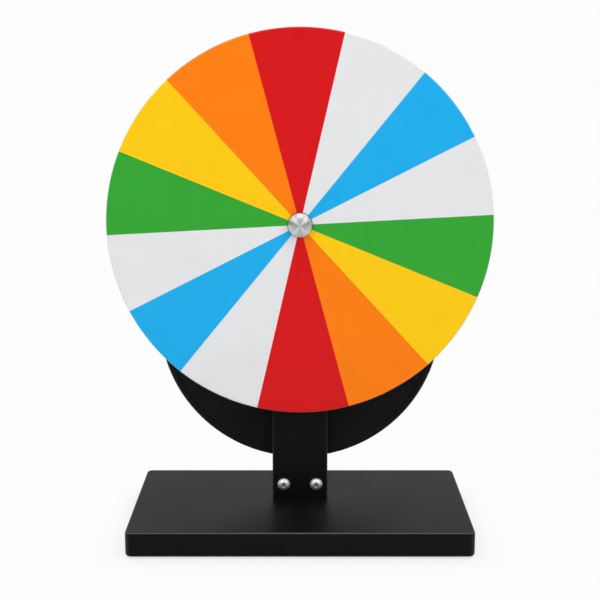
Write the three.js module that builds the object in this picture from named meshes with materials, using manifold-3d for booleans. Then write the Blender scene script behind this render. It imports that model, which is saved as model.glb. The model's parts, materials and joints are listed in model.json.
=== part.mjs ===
// Newton colour disc on a post, spun through a round belt by a crank wheel behind the post.
// Millimetres, +Z up, +X to the viewer's right, +Y away from the viewer.
// The origin lies on the surface that the feet stand on, under the middle of the base board,
// and the plane y = 0 is the front face of the post.

import * as THREE from "three";
import { mergeGeometries, mergeVertices } from "three/addons/utils/BufferGeometryUtils.js";
import Module from "manifold-3d";

// Fits and gaps

const RUNNING_CLEARANCE = 0.1; // radial, between a shaft and the bush it turns in
const FIXED_CLEARANCE = 0.1; // radial, around a piece that is pressed, screwed or clamped in a hole
const RUNNING_GAP = 0.3; // axial, between faces that turn past each other
const BELT_CLEARANCE = 0.3; // around the belt in its grooves
const WELD_TOLERANCE = 1e-4; // vertices nearer than this are one
const CUT_OVER = 1; // how far a cutter runs past what it cuts
const TIP_CHAMFER = 0.6; // on the ends of shafts and threads
const BUTTON_BRIM = 0.6; // straight edge under the dome of a button head
const BUTTON_CROWN_SHARE = 0.5; // flat top of a button head, of its radius
const SOCKET_SHARE = 0.7; // depth of a small hexagon socket, of the head that it is in
const COUNTERSUNK_SOCKET_FLATS = 2.5;

// Base board and its feet

const BASE_WIDTH = 269;
const BASE_DEPTH = 155;
const BASE_THICKNESS = 20;
const BASE_CORNER_RADIUS = 5;
const BASE_EDGE_RADIUS = 1.5;
const FOOT_RADIUS = 9;
const FOOT_PROUD = 1; // how far a foot stands out of the board
const FOOT_RECESS = 3; // how deep it sits in the board
const FOOT_EDGE_RADIUS = 0.6;
const FOOT_INSET = 24; // from each side of the board to the middle of a foot
const FOOT_SCREW_RADIUS = 2;
const FOOT_SCREW_HEAD_RADIUS = 3.8;
const FOOT_SCREW_BITE = 8; // thread in the board
const FOOT_SCREW_SINK = 0.5; // head below the sole

// Post, its bracket and their fasteners

const POST_WIDTH = 45;
const POST_THICKNESS = 6;
const POST_EDGE_RADIUS = 1.8;
const BRACKET_WIDTH = 40;
const BRACKET_THICKNESS = 4;
const BRACKET_HEIGHT = 24;
const BRACKET_LENGTH = 38;
const BRACKET_BEND_RADIUS = 2;
const BOLT_SPACING = 26.5;
const BOLT_HEIGHT = 12.8; // above the board
const BOLT_RADIUS = 3;
const BOLT_HEAD_RADIUS = 5.25;
const BOLT_HEAD_HEIGHT = 3.3;
const BOLT_SOCKET_FLATS = 4;
const BOLT_SOCKET_DEPTH = 2;
const BOLT_TAIL = 1.4; // thread that shows past the nut
const BOLT_NUT_FLATS = 10;
const BOLT_NUT_HEIGHT = 5.2;
const BOLT_WASHER_RADIUS = 6;
const WASHER_THICKNESS = 1.6;
const BRACKET_SCREW_SPACING = 24;
const BRACKET_SCREW_SETBACK = 26; // behind the post
const BRACKET_SCREW_RADIUS = 2.5;
const BRACKET_SCREW_HEAD_RADIUS = 4.6;
const BRACKET_SCREW_HEAD_HEIGHT = 2.6;
const BRACKET_SCREW_BITE = 13; // thread in the board
const BRACKET_SCREW_SOCKET_FLATS = 3;

// Disc, its shaft and its bearing

const SHAFT_ABOVE_AXLE = 85;
const SHAFT_RADIUS = 4;
const DISC_RADIUS = 150;
const DISC_THICKNESS = 4;
const DISC_EDGE_RADIUS = 1.4;
const DISC_STANDOFF = 20; // from the post to the back of the disc
const HOUSING_RADIUS = 15;
const HOUSING_NOSE = 9; // in front of the post
const HOUSING_SPIGOT_RADIUS = 12; // in the post
const HOUSING_CHAMFER = 1;
const BUSH_WALL = 3;
const BUSH_FLANGE_WIDTH = 2;
const BUSH_FLANGE_THICKNESS = 1.5;
const BUSH_LENGTH = 7; // of each sleeve in the bearing housing
const HUB_FLANGE_RADIUS = 22;
const HUB_FLANGE_THICKNESS = 4;
const HUB_BOSS_RADIUS = 10;
const HUB_CHAMFER = 0.8;
const GRUB_RADIUS = 1.5;
const GRUB_SOCKET_FLATS = 1.5;
const GRUB_SOCKET_DEPTH = 1.2;
const GRUB_SINK = 0.2; // below the surface that it is screwed into
const DISC_WASHER_RADIUS = 9.7;
const DISC_WASHER_THICKNESS = 0.8;
const DOME_RADIUS = 9.2;
const DOME_HEIGHT = 8;
const DOME_SKIRT = 1.6;
const DOME_EASE = 0.3; // small chamfer at its seat
const DOME_CROWN_SHARE = 0.5; // how flat its top is, of its radius
const DOME_THREAD_DEPTH = 5.5;

// Sectors of the disc, clockwise from the top, painted twice round

const SECTOR_START_DEG = -15; // left edge of the first sector, clockwise from straight up
const SECTORS = [
  { colour: 0xd7191c, degrees: 27.5 },
  { colour: 0xe5e6e8, degrees: 26 },
  { colour: 0x20aeec, degrees: 24 },
  { colour: 0xe5e6e8, degrees: 24 },
  { colour: 0x37a637, degrees: 25.5 },
  { colour: 0xfecb16, degrees: 25.5 },
  { colour: 0xfe8012, degrees: 27.5 },
];
const SECTOR_STEPS = 5; // facets across one sector
const DISC_BACK_COLOUR = 0xe5e6e8;

// Belt and pulleys

const BELT_RADIUS = 2.5;
const PULLEY_WIDTH = 10;
const SHAFT_TAIL = 0.7; // shaft that shows past the small pulley
const PULLEY_FLANGE = 3.2; // how far a flange stands past the middle of the belt
const PULLEY_EDGE_RADIUS = 0.8;
const SMALL_PULLEY_RADIUS = 12; // at the middle of the belt
const DRIVE_PULLEY_RADIUS = 60; // at the middle of the belt
const DRIVE_PULLEY_WEB = 4;
const DRIVE_PULLEY_RIM = 6; // wall under the groove
const DRIVE_HUB_RADIUS = 22;
const PULLEY_SCREWS = 3;
const PULLEY_SCREW_CIRCLE_RADIUS = 15.5;
const PULLEY_SCREW_RADIUS = 2;
const PULLEY_SCREW_HEAD_RADIUS = 3.8;
const PULLEY_SCREW_BITE = 3.5; // thread in the wheel

// Crank wheel, its axle and its handle

const WHEEL_ABOVE_BOARD = 30; // room under the wheel
const AXLE_RADIUS = 5;
const AXLE_THREAD_RADIUS = 4;
const AXLE_COLLAR_RADIUS = 8;
const AXLE_COLLAR_THICKNESS = 1.5;
const AXLE_NUT_FLATS = 13;
const AXLE_NUT_HEIGHT = 6.5;
const AXLE_TAIL = 1.5; // thread that shows past the front nut
const AXLE_WASHER_RADIUS = 9;
const CAP_NUT_HEIGHT = 11;
const CAP_NUT_THREAD_DEPTH = 7;
const WHEEL_RADIUS = 115;
const WHEEL_RIM_THICKNESS = 6;
const WHEEL_RIM_WIDTH = 15;
const WHEEL_LIP = 1; // rim in front of the web
const WHEEL_LIP_WIDTH = 4.5;
const WHEEL_RIM_EDGE_RADIUS = 2;
const WHEEL_WEB = 5;
const WHEEL_WEB_CLEARANCE = 2.2; // behind the small pulley
const WHEEL_BOSS_RADIUS = 16;
const WHEEL_BOSS_LENGTH = 13;
const WHEEL_FILLET = 2.5;
const HANDLE_CIRCLE_RADIUS = 92;
const HANDLE_BOSS_RADIUS = 10;
const HANDLE_BOSS_LENGTH = 6;
const HANDLE_BOSS_CHAMFER = 1;
const SPINDLE_RADIUS = 4;
const SPINDLE_THREAD_RADIUS = 3;
const SPINDLE_COLLAR_RADIUS = 7;
const SPINDLE_COLLAR_THICKNESS = 2;
const SPINDLE_HEAD_RADIUS = 6.5;
const SPINDLE_HEAD_THICKNESS = 3;
const SPINDLE_HEAD_CHAMFER = 0.8;
const SPINDLE_SOCKET_FLATS = 5;
const GRIP_LENGTH = 38;
const GRIP_END_RADIUS = 9.5;
const GRIP_EDGE_RADIUS = 1.5;
const GRIP_WAIST_RADIUS = 10.5;
const GRIP_WAIST_AT = 9.5; // from the wheel's end of the grip
const GRIP_BELLY_RADIUS = 13;
const GRIP_BELLY_AT = 26.5;

// Facets

const LARGE_FACETS = 48; // round the wheel and the drive pulley
const ROUND_FACETS = 20; // round shafts, bushes and other turned pieces
const SCREW_FACETS = 12;
const ARC_STEPS = 1; // an arc of an outline has twice this many steps
const GROOVE_STEPS = 2;
const DOME_STEPS = 6;
const CORNER_STEPS = 3;
const POST_TOP_STEPS = 10;
const EDGE_STEPS = 2; // across the rounded edges of the board and the post
const BELT_STEPS = 104;
const BELT_SIDES = 8;

// Places that follow from the sizes

const BASE_TOP = FOOT_PROUD + BASE_THICKNESS;
const AXLE_Z = BASE_TOP + WHEEL_ABOVE_BOARD + WHEEL_RADIUS;
const SHAFT_Z = AXLE_Z + SHAFT_ABOVE_AXLE;
const BOLT_Z = BASE_TOP + BOLT_HEIGHT;
const FOOT_X = BASE_WIDTH / 2 - FOOT_INSET;
const FOOT_Y = BASE_DEPTH / 2 - FOOT_INSET;

const POST_BACK = POST_THICKNESS;
const HOUSING_FRONT = -HOUSING_NOSE;
const HUB_BACK = HOUSING_FRONT - BUSH_FLANGE_THICKNESS - RUNNING_GAP;
const DISC_BACK = -DISC_STANDOFF;
const DISC_FRONT = DISC_BACK - DISC_THICKNESS;
const DOME_SEAT = DISC_FRONT - DISC_WASHER_THICKNESS;

const PULLEY_FRONT = POST_BACK + BUSH_FLANGE_THICKNESS + RUNNING_GAP;
const BELT_Y = PULLEY_FRONT + PULLEY_WIDTH / 2;
const PULLEY_BACK = PULLEY_FRONT + PULLEY_WIDTH;
const WEB_FRONT = PULLEY_BACK + WHEEL_WEB_CLEARANCE;
const WEB_BACK = WEB_FRONT + WHEEL_WEB;
const WHEEL_BOSS_BACK = WEB_BACK + WHEEL_BOSS_LENGTH;

const AXLE_COLLAR_BACK = POST_BACK + AXLE_COLLAR_THICKNESS;
const FRONT_BUSH_FLANGE = AXLE_COLLAR_BACK + RUNNING_GAP;
const DRIVE_HUB_FRONT = FRONT_BUSH_FLANGE + BUSH_FLANGE_THICKNESS;
const AXLE_SHOULDER = WHEEL_BOSS_BACK + BUSH_FLANGE_THICKNESS + RUNNING_GAP;
const CAP_NUT_SEAT = AXLE_SHOULDER + WASHER_THICKNESS;

const HANDLE_BOSS_BACK = WEB_BACK + HANDLE_BOSS_LENGTH;
const SPINDLE_SHOULDER = HANDLE_BOSS_BACK + SPINDLE_COLLAR_THICKNESS;
const GRIP_FRONT = SPINDLE_SHOULDER + RUNNING_GAP;
const GRIP_BACK = GRIP_FRONT + GRIP_LENGTH;
const SPINDLE_HEAD = GRIP_BACK + RUNNING_GAP;

// Finishes

const BLACK_LACQUER = { color: 0x1b1b1d, roughness: 0.5, metalness: 0 };
const BLACK_PAINT = { color: 0x141415, roughness: 0.45, metalness: 0.1 };
const BLACK_PLASTIC = { color: 0x161618, roughness: 0.55, metalness: 0 };
const GREY_PLASTIC = { color: 0x3a3b3e, roughness: 0.5, metalness: 0 };
const RUBBER = { color: 0x111111, roughness: 0.9, metalness: 0 };
const BRIGHT_STEEL = { color: 0xc9cacc, roughness: 0.28, metalness: 1 };
const BRONZE = { color: 0xa9803f, roughness: 0.45, metalness: 1 };
const FIBRE = { color: 0x2b2624, roughness: 0.85, metalness: 0 };
const DISC_PAINT = { color: 0xffffff, roughness: 0.3, metalness: 0, vertexColors: true };

// Solids from closed meshes

const wasm = await Module();
wasm.setup();

function solidOf(geometry) {
  const bare = geometry.index ? geometry.toNonIndexed() : geometry.clone();
  bare.deleteAttribute("normal");
  bare.deleteAttribute("uv");
  const merged = mergeVertices(bare, WELD_TOLERANCE);
  const corners = merged.index.array;
  const kept = [];
  for (let i = 0; i < corners.length; i += 3) {
    const [a, b, c] = corners.slice(i, i + 3);
    if (a !== b && b !== c && c !== a) {
      kept.push(a, b, c);
    }
  }
  const vertProperties = merged.attributes.position.array;
  const triVerts = new Uint32Array(kept);
  return new wasm.Manifold(new wasm.Mesh({ numProp: 3, vertProperties, triVerts }));
}

function geometryOf(solid) {
  const { vertProperties, triVerts } = solid.getMesh();
  const indexed = new THREE.BufferGeometry();
  indexed.setAttribute("position", new THREE.BufferAttribute(vertProperties, 3));
  indexed.setIndex(new THREE.BufferAttribute(triVerts, 1));
  const flat = indexed.toNonIndexed();
  flat.computeVertexNormals();
  return flat;
}

function cut(geometry, ...cutters) {
  return geometryOf(cutters.reduce((solid, cutter) => solid.subtract(solidOf(cutter)), solidOf(geometry)));
}

function join(...geometries) {
  return geometryOf(geometries.map(solidOf).reduce((solid, other) => solid.add(other)));
}

function common(first, second) {
  return geometryOf(solidOf(first).intersect(solidOf(second)));
}

// Outlines and the shapes made from them

// A turned piece: its outline holds (radius, y), and it turns about the Y axis.
function turned(outline, facets = ROUND_FACETS, arcSteps = ARC_STEPS) {
  const points = outline.getPoints(arcSteps);
  if (THREE.ShapeUtils.area(points) < 0) {
    points.reverse();
  }
  return new THREE.LatheGeometry(points, facets);
}

function outlineThrough(...corners) {
  return new THREE.Path(corners.map(([radius, y]) => new THREE.Vector2(radius, y)));
}

function cylinder(radius, y0, y1, facets = ROUND_FACETS) {
  return turned(outlineThrough([0, y0], [radius, y0], [radius, y1], [0, y1]), facets);
}

function screwHole(radius, y0, y1) {
  return cylinder(radius + FIXED_CLEARANCE, y0, y1, SCREW_FACETS);
}

function ring(inner, outer, y0, y1, facets = ROUND_FACETS) {
  return turned(outlineThrough([inner, y0], [outer, y0], [outer, y1], [inner, y1], [inner, y0]), facets);
}

// A shape drawn as it is seen from the front, from y0 to y1.
function plate(shape, y0, y1) {
  const geometry = new THREE.ExtrudeGeometry(shape, { depth: y1 - y0, bevelEnabled: false });
  return geometry.rotateX(Math.PI / 2).translate(0, y1, 0);
}

function hexagon(acrossFlats) {
  const radius = acrossFlats / Math.sqrt(3);
  const corners = [0, 1, 2, 3, 4, 5].map((i) => {
    const angle = (i * Math.PI) / 3;
    return new THREE.Vector2(radius * Math.cos(angle), radius * Math.sin(angle));
  });
  return new THREE.Shape(corners);
}

// A turned or plate shape stood up, so that its Y axis points up.
function upright(geometry) {
  return geometry.rotateX(Math.PI / 2);
}

function placed(geometry, x, y, z) {
  return geometry.clone().translate(x, y, z);
}

// Fasteners: the head's seat is at y = 0, and the shank runs towards +Y

function buttonHeadBolt({ headRadius, headHeight, radius, length, socketFlats, socketDepth }) {
  const outline = new THREE.Path();
  outline.moveTo(0, -headHeight);
  outline.lineTo(headRadius * BUTTON_CROWN_SHARE, -headHeight);
  outline.quadraticCurveTo(headRadius, -headHeight, headRadius, -BUTTON_BRIM);
  outline.lineTo(headRadius, 0);
  outline.lineTo(radius, 0);
  outline.lineTo(radius, length - TIP_CHAMFER);
  outline.lineTo(radius - TIP_CHAMFER, length);
  outline.lineTo(0, length);
  const socket = plate(hexagon(socketFlats), -headHeight - CUT_OVER, -headHeight + socketDepth);
  return cut(turned(outline, SCREW_FACETS, GROOVE_STEPS), socket);
}

function countersunkOutline(headRadius, radius, length) {
  const cone = headRadius - radius;
  return outlineThrough([0, 0], [headRadius, 0], [radius, cone], [radius, length], [0, length]);
}

function countersunkScrew({ headRadius, radius, length }) {
  const socketDepth = (headRadius - radius) * SOCKET_SHARE;
  const socket = plate(hexagon(COUNTERSUNK_SOCKET_FLATS), -CUT_OVER, socketDepth);
  return cut(turned(countersunkOutline(headRadius, radius, length), SCREW_FACETS), socket);
}

function countersunkHole({ headRadius, radius, length }) {
  const mouth = headRadius + FIXED_CLEARANCE;
  const outline = countersunkOutline(mouth, radius + FIXED_CLEARANCE, length + FIXED_CLEARANCE);
  return join(turned(outline, SCREW_FACETS), cylinder(mouth, -CUT_OVER, 0, SCREW_FACETS));
}

function hexNut(acrossFlats, height, radius, boreFacets) {
  const corner = acrossFlats / Math.sqrt(3);
  const chamfer = corner - acrossFlats / 2;
  const edge = acrossFlats / 2;
  const shoulder = height - chamfer;
  const blank = turned(
    outlineThrough([0, 0], [edge, 0], [corner, chamfer], [corner, shoulder], [edge, height], [0, height]),
  );
  const bore = cylinder(radius, -CUT_OVER, height + CUT_OVER, boreFacets);
  return cut(common(plate(hexagon(acrossFlats), 0, height), blank), bore);
}

function domedNut(acrossFlats, height, threadRadius, threadDepth) {
  const corner = acrossFlats / Math.sqrt(3);
  const chamfer = corner - acrossFlats / 2;
  const collar = height - acrossFlats / 2;
  const blank = new THREE.Path();
  blank.moveTo(0, 0);
  blank.lineTo(acrossFlats / 2, 0);
  blank.lineTo(corner, chamfer);
  blank.lineTo(corner, collar);
  blank.lineTo(acrossFlats / 2, collar + chamfer);
  blank.absarc(0, collar + chamfer, acrossFlats / 2 - chamfer, 0, Math.PI / 2, false);
  const hexed = common(plate(hexagon(acrossFlats), 0, height), turned(blank, ROUND_FACETS, GROOVE_STEPS));
  return cut(hexed, cylinder(threadRadius, -CUT_OVER, threadDepth));
}

function grubScrew(inner, outer) {
  const socket = plate(hexagon(GRUB_SOCKET_FLATS), outer - GRUB_SOCKET_DEPTH, outer + CUT_OVER);
  return cut(cylinder(GRUB_RADIUS, inner, outer, SCREW_FACETS), socket).rotateX(-Math.PI / 2);
}

function flangedBush(bore, flangeFront, sleeveLength, reversed) {
  const outer = bore + BUSH_WALL;
  const flange = outer + BUSH_FLANGE_WIDTH;
  const sign = reversed ? -1 : 1;
  const seat = flangeFront + sign * BUSH_FLANGE_THICKNESS;
  const end = seat + sign * sleeveLength;
  return turned(
    outlineThrough(
      [bore, flangeFront],
      [flange, flangeFront],
      [flange, seat],
      [outer, seat],
      [outer, end],
      [bore, end],
      [bore, flangeFront],
    ),
  );
}

// Assembly helpers

function part(parent, name, geometry, finish, x = 0, y = 0, z = 0) {
  const mesh = new THREE.Mesh(geometry, new THREE.MeshStandardMaterial(finish));
  mesh.name = name;
  mesh.position.set(x, y, z);
  parent.add(mesh);
  return mesh;
}

function groupAt(parent, x, y, z) {
  const group = new THREE.Group();
  group.position.set(x, y, z);
  parent.add(group);
  return group;
}

// Base board: a lacquered board with rounded corners, recessed below for its feet

const FOOT_SCREW = {
  headRadius: FOOT_SCREW_HEAD_RADIUS,
  radius: FOOT_SCREW_RADIUS,
  length: FOOT_PROUD - FOOT_SCREW_SINK + FOOT_RECESS + FOOT_SCREW_BITE,
};
const BRACKET_SCREW_LENGTH = BRACKET_THICKNESS + BRACKET_SCREW_BITE;
const BRACKET_SCREW_Y = POST_BACK + BRACKET_SCREW_SETBACK;
const SIDES = [
  { side: "left", sign: -1 },
  { side: "right", sign: 1 },
];
const ENDS = [
  { end: "front", sign: -1 },
  { end: "rear", sign: 1 },
];

function roundedRectangle(width, depth, radius) {
  const x = width / 2 - radius;
  const y = depth / 2 - radius;
  const shape = new THREE.Shape();
  shape.absarc(x, y, radius, 0, Math.PI / 2, false);
  shape.absarc(-x, y, radius, Math.PI / 2, Math.PI, false);
  shape.absarc(-x, -y, radius, Math.PI, 1.5 * Math.PI, false);
  shape.absarc(x, -y, radius, 1.5 * Math.PI, 2 * Math.PI, false);
  return shape;
}

function footPlaces() {
  return ENDS.flatMap(({ end, sign: ySign }) =>
    SIDES.map(({ side, sign: xSign }) => ({ name: `${end}_${side}`, x: xSign * FOOT_X, y: ySign * FOOT_Y })),
  );
}

function baseBoard() {
  const inset = 2 * BASE_EDGE_RADIUS;
  const cornerRadius = BASE_CORNER_RADIUS - BASE_EDGE_RADIUS;
  const outline = roundedRectangle(BASE_WIDTH - inset, BASE_DEPTH - inset, cornerRadius);
  const slab = new THREE.ExtrudeGeometry(outline, {
    depth: BASE_THICKNESS - inset,
    bevelThickness: BASE_EDGE_RADIUS,
    bevelSize: BASE_EDGE_RADIUS,
    bevelSegments: EDGE_STEPS,
    curveSegments: CORNER_STEPS,
  }).translate(0, 0, FOOT_PROUD + BASE_EDGE_RADIUS);
  const recess = upright(cylinder(FOOT_RADIUS + FIXED_CLEARANCE, 0, FOOT_PROUD + FOOT_RECESS));
  const footScrewTop = FOOT_SCREW_SINK + FOOT_SCREW.length + FIXED_CLEARANCE;
  const footPilot = upright(screwHole(FOOT_SCREW_RADIUS, FOOT_PROUD, footScrewTop));
  const bracketScrewEnd = BASE_TOP - BRACKET_SCREW_BITE - FIXED_CLEARANCE;
  const bracketPilot = upright(screwHole(BRACKET_SCREW_RADIUS, bracketScrewEnd, BASE_TOP + CUT_OVER));
  const footCuts = footPlaces().flatMap(({ x, y }) => [placed(recess, x, y, 0), placed(footPilot, x, y, 0)]);
  const bracketCuts = SIDES.map(({ sign }) =>
    placed(bracketPilot, (sign * BRACKET_SCREW_SPACING) / 2, BRACKET_SCREW_Y, 0),
  );
  return cut(slab, ...footCuts, ...bracketCuts);
}

function foot() {
  const top = FOOT_PROUD + FOOT_RECESS;
  const outline = new THREE.Path();
  outline.moveTo(0, 0);
  outline.lineTo(FOOT_RADIUS - FOOT_EDGE_RADIUS, 0);
  outline.lineTo(FOOT_RADIUS, FOOT_EDGE_RADIUS);
  outline.lineTo(FOOT_RADIUS, top);
  outline.lineTo(0, top);
  const hole = countersunkHole(FOOT_SCREW).translate(0, FOOT_SCREW_SINK, 0);
  return upright(cut(turned(outline), hole));
}

function footScrew() {
  return upright(countersunkScrew(FOOT_SCREW).translate(0, FOOT_SCREW_SINK, 0));
}

// Post: a flat bar with rounded edges and a round top, bored for the bearing, the axle and the bolts

function postOutline(inset) {
  const radius = POST_WIDTH / 2 - inset;
  const shape = new THREE.Shape();
  shape.moveTo(-radius, BASE_TOP - POST_WIDTH);
  shape.lineTo(radius, BASE_TOP - POST_WIDTH);
  shape.lineTo(radius, SHAFT_Z);
  shape.absarc(0, SHAFT_Z, radius, 0, Math.PI, false);
  shape.closePath();
  return shape;
}

function boltPlaces() {
  return SIDES.map(({ side, sign }) => ({ side, x: (sign * BOLT_SPACING) / 2 }));
}

function post() {
  const bar = new THREE.ExtrudeGeometry(postOutline(POST_EDGE_RADIUS), {
    depth: POST_THICKNESS - 2 * POST_EDGE_RADIUS,
    bevelThickness: POST_EDGE_RADIUS,
    bevelSize: POST_EDGE_RADIUS,
    bevelSegments: EDGE_STEPS,
    curveSegments: POST_TOP_STEPS,
  })
    .rotateX(Math.PI / 2)
    .translate(0, POST_THICKNESS - POST_EDGE_RADIUS, 0);
  const below = new THREE.BoxGeometry(2 * POST_WIDTH, 2 * POST_WIDTH, 2 * POST_WIDTH);
  below.translate(0, 0, BASE_TOP - POST_WIDTH);
  const through = [-CUT_OVER, POST_THICKNESS + CUT_OVER];
  const bearing = cylinder(HOUSING_SPIGOT_RADIUS + FIXED_CLEARANCE, ...through).translate(0, 0, SHAFT_Z);
  const axle = cylinder(AXLE_THREAD_RADIUS + FIXED_CLEARANCE, ...through).translate(0, 0, AXLE_Z);
  const bolts = boltPlaces().map(({ x }) => screwHole(BOLT_RADIUS, ...through).translate(x, 0, BOLT_Z));
  return cut(bar, below, bearing, axle, ...bolts);
}

// Bracket: an angle behind the post, bolted to it and screwed down to the board

function bracket() {
  const inner = BRACKET_BEND_RADIUS;
  const outer = BRACKET_BEND_RADIUS + BRACKET_THICKNESS;
  const sheet = BRACKET_THICKNESS;
  const profile = new THREE.Shape();
  profile.moveTo(BRACKET_LENGTH, 0);
  profile.lineTo(BRACKET_LENGTH, sheet);
  profile.lineTo(outer, sheet);
  profile.absarc(outer, outer, inner, 1.5 * Math.PI, Math.PI, true);
  profile.lineTo(sheet, BRACKET_HEIGHT);
  profile.lineTo(0, BRACKET_HEIGHT);
  profile.lineTo(0, outer);
  profile.absarc(outer, outer, outer, Math.PI, 1.5 * Math.PI, false);
  profile.closePath();
  // The profile is drawn in (y, z) and drawn out along X.
  const alongX = new THREE.Matrix4().makeBasis(
    new THREE.Vector3(0, 1, 0),
    new THREE.Vector3(0, 0, 1),
    new THREE.Vector3(1, 0, 0),
  );
  const angle = new THREE.ExtrudeGeometry(profile, {
    depth: BRACKET_WIDTH,
    bevelEnabled: false,
    curveSegments: CORNER_STEPS,
  })
    .applyMatrix4(alongX)
    .translate(-BRACKET_WIDTH / 2, POST_BACK, BASE_TOP);
  const boltHoles = boltPlaces().map(({ x }) =>
    screwHole(BOLT_RADIUS, POST_BACK - CUT_OVER, POST_BACK + sheet + CUT_OVER).translate(x, 0, BOLT_Z),
  );
  const screwHoles = SIDES.map(({ sign }) => {
    const hole = upright(screwHole(BRACKET_SCREW_RADIUS, BASE_TOP - CUT_OVER, BASE_TOP + sheet + CUT_OVER));
    return hole.translate((sign * BRACKET_SCREW_SPACING) / 2, BRACKET_SCREW_Y, 0);
  });
  return cut(angle, ...boltHoles, ...screwHoles);
}

function postBolt() {
  return buttonHeadBolt({
    headRadius: BOLT_HEAD_RADIUS,
    headHeight: BOLT_HEAD_HEIGHT,
    radius: BOLT_RADIUS,
    length: POST_THICKNESS + BRACKET_THICKNESS + WASHER_THICKNESS + BOLT_NUT_HEIGHT + BOLT_TAIL,
    socketFlats: BOLT_SOCKET_FLATS,
    socketDepth: BOLT_SOCKET_DEPTH,
  });
}

function bracketScrew() {
  const screw = buttonHeadBolt({
    headRadius: BRACKET_SCREW_HEAD_RADIUS,
    headHeight: BRACKET_SCREW_HEAD_HEIGHT,
    radius: BRACKET_SCREW_RADIUS,
    length: BRACKET_SCREW_LENGTH,
    socketFlats: BRACKET_SCREW_SOCKET_FLATS,
    socketDepth: BRACKET_SCREW_HEAD_HEIGHT * SOCKET_SHARE,
  });
  return screw.rotateX(-Math.PI / 2);
}

// Bearing: a shouldered housing in the post with a bronze bush at each end

const BEARING_BORE = SHAFT_RADIUS + RUNNING_CLEARANCE;
const HOUSING_BORE = BEARING_BORE + BUSH_WALL + FIXED_CLEARANCE;

function bearingHousing() {
  return turned(
    outlineThrough(
      [HOUSING_BORE, HOUSING_FRONT],
      [HOUSING_RADIUS - HOUSING_CHAMFER, HOUSING_FRONT],
      [HOUSING_RADIUS, HOUSING_FRONT + HOUSING_CHAMFER],
      [HOUSING_RADIUS, 0],
      [HOUSING_SPIGOT_RADIUS, 0],
      [HOUSING_SPIGOT_RADIUS, POST_BACK],
      [HOUSING_BORE, POST_BACK],
      [HOUSING_BORE, HOUSING_FRONT],
    ),
  );
}

// Disc assembly, on the shaft's axis

function discShaft() {
  const chamfer = TIP_CHAMFER;
  const tip = DOME_SEAT - DOME_THREAD_DEPTH + RUNNING_GAP;
  const end = PULLEY_BACK + SHAFT_TAIL;
  return turned(
    outlineThrough(
      [0, tip],
      [SHAFT_RADIUS - chamfer, tip],
      [SHAFT_RADIUS, tip + chamfer],
      [SHAFT_RADIUS, end - chamfer],
      [SHAFT_RADIUS - chamfer, end],
      [0, end],
    ),
  );
}

const SHAFT_HOLE = SHAFT_RADIUS + FIXED_CLEARANCE;
const HUB_FLANGE_BACK = DISC_BACK + HUB_FLANGE_THICKNESS;
const HUB_GRUB_Y = (HUB_FLANGE_BACK + HUB_BACK) / 2;

function discHub() {
  const hub = turned(
    outlineThrough(
      [SHAFT_HOLE, DISC_BACK],
      [HUB_FLANGE_RADIUS, DISC_BACK],
      [HUB_FLANGE_RADIUS, HUB_FLANGE_BACK - HUB_CHAMFER],
      [HUB_FLANGE_RADIUS - HUB_CHAMFER, HUB_FLANGE_BACK],
      [HUB_BOSS_RADIUS, HUB_FLANGE_BACK],
      [HUB_BOSS_RADIUS, HUB_BACK],
      [SHAFT_HOLE, HUB_BACK],
      [SHAFT_HOLE, DISC_BACK],
    ),
  );
  const grubHole = screwHole(GRUB_RADIUS, 0, HUB_BOSS_RADIUS + CUT_OVER).rotateX(-Math.PI / 2);
  return cut(hub, grubHole.translate(0, HUB_GRUB_Y, 0));
}

function hubGrubScrew() {
  return grubScrew(SHAFT_HOLE, HUB_BOSS_RADIUS - GRUB_SINK).translate(0, HUB_GRUB_Y, 0);
}

// One sector of the disc is a stretch of the turned outline, and its triangles take the sector's
// colour on the front and the edge, and the plain colour at the back.
function discSector(startDeg, degrees, colour) {
  const r = DISC_EDGE_RADIUS;
  const outline = new THREE.Path();
  outline.moveTo(SHAFT_HOLE, DISC_FRONT);
  outline.lineTo(DISC_RADIUS - r, DISC_FRONT);
  outline.absarc(DISC_RADIUS - r, DISC_FRONT + r, r, -Math.PI / 2, 0, false);
  outline.absarc(DISC_RADIUS - r, DISC_BACK - r, r, 0, Math.PI / 2, false);
  outline.lineTo(SHAFT_HOLE, DISC_BACK);
  outline.lineTo(SHAFT_HOLE, DISC_FRONT);
  const phiStart = THREE.MathUtils.degToRad(startDeg);
  const phiLength = THREE.MathUtils.degToRad(degrees);
  const points = outline.getPoints(ARC_STEPS);
  const strip = new THREE.LatheGeometry(points, SECTOR_STEPS, phiStart, phiLength).toNonIndexed();
  const position = strip.attributes.position;
  const front = new THREE.Color(colour);
  const back = new THREE.Color(DISC_BACK_COLOUR);
  const tints = new Float32Array(position.count * 3);
  for (let i = 0; i < position.count; i += 3) {
    const middle = (position.getY(i) + position.getY(i + 1) + position.getY(i + 2)) / 3;
    const tint = middle > DISC_BACK - r ? back : front;
    for (let k = 0; k < 3; k += 1) {
      tint.toArray(tints, (i + k) * 3);
    }
  }
  strip.setAttribute("color", new THREE.BufferAttribute(tints, 3));
  return strip;
}

function colourDisc() {
  const strips = [];
  let start = SECTOR_START_DEG;
  for (const { colour, degrees } of [...SECTORS, ...SECTORS]) {
    strips.push(discSector(start, degrees, colour));
    start += degrees;
  }
  return mergeGeometries(strips);
}

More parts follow.
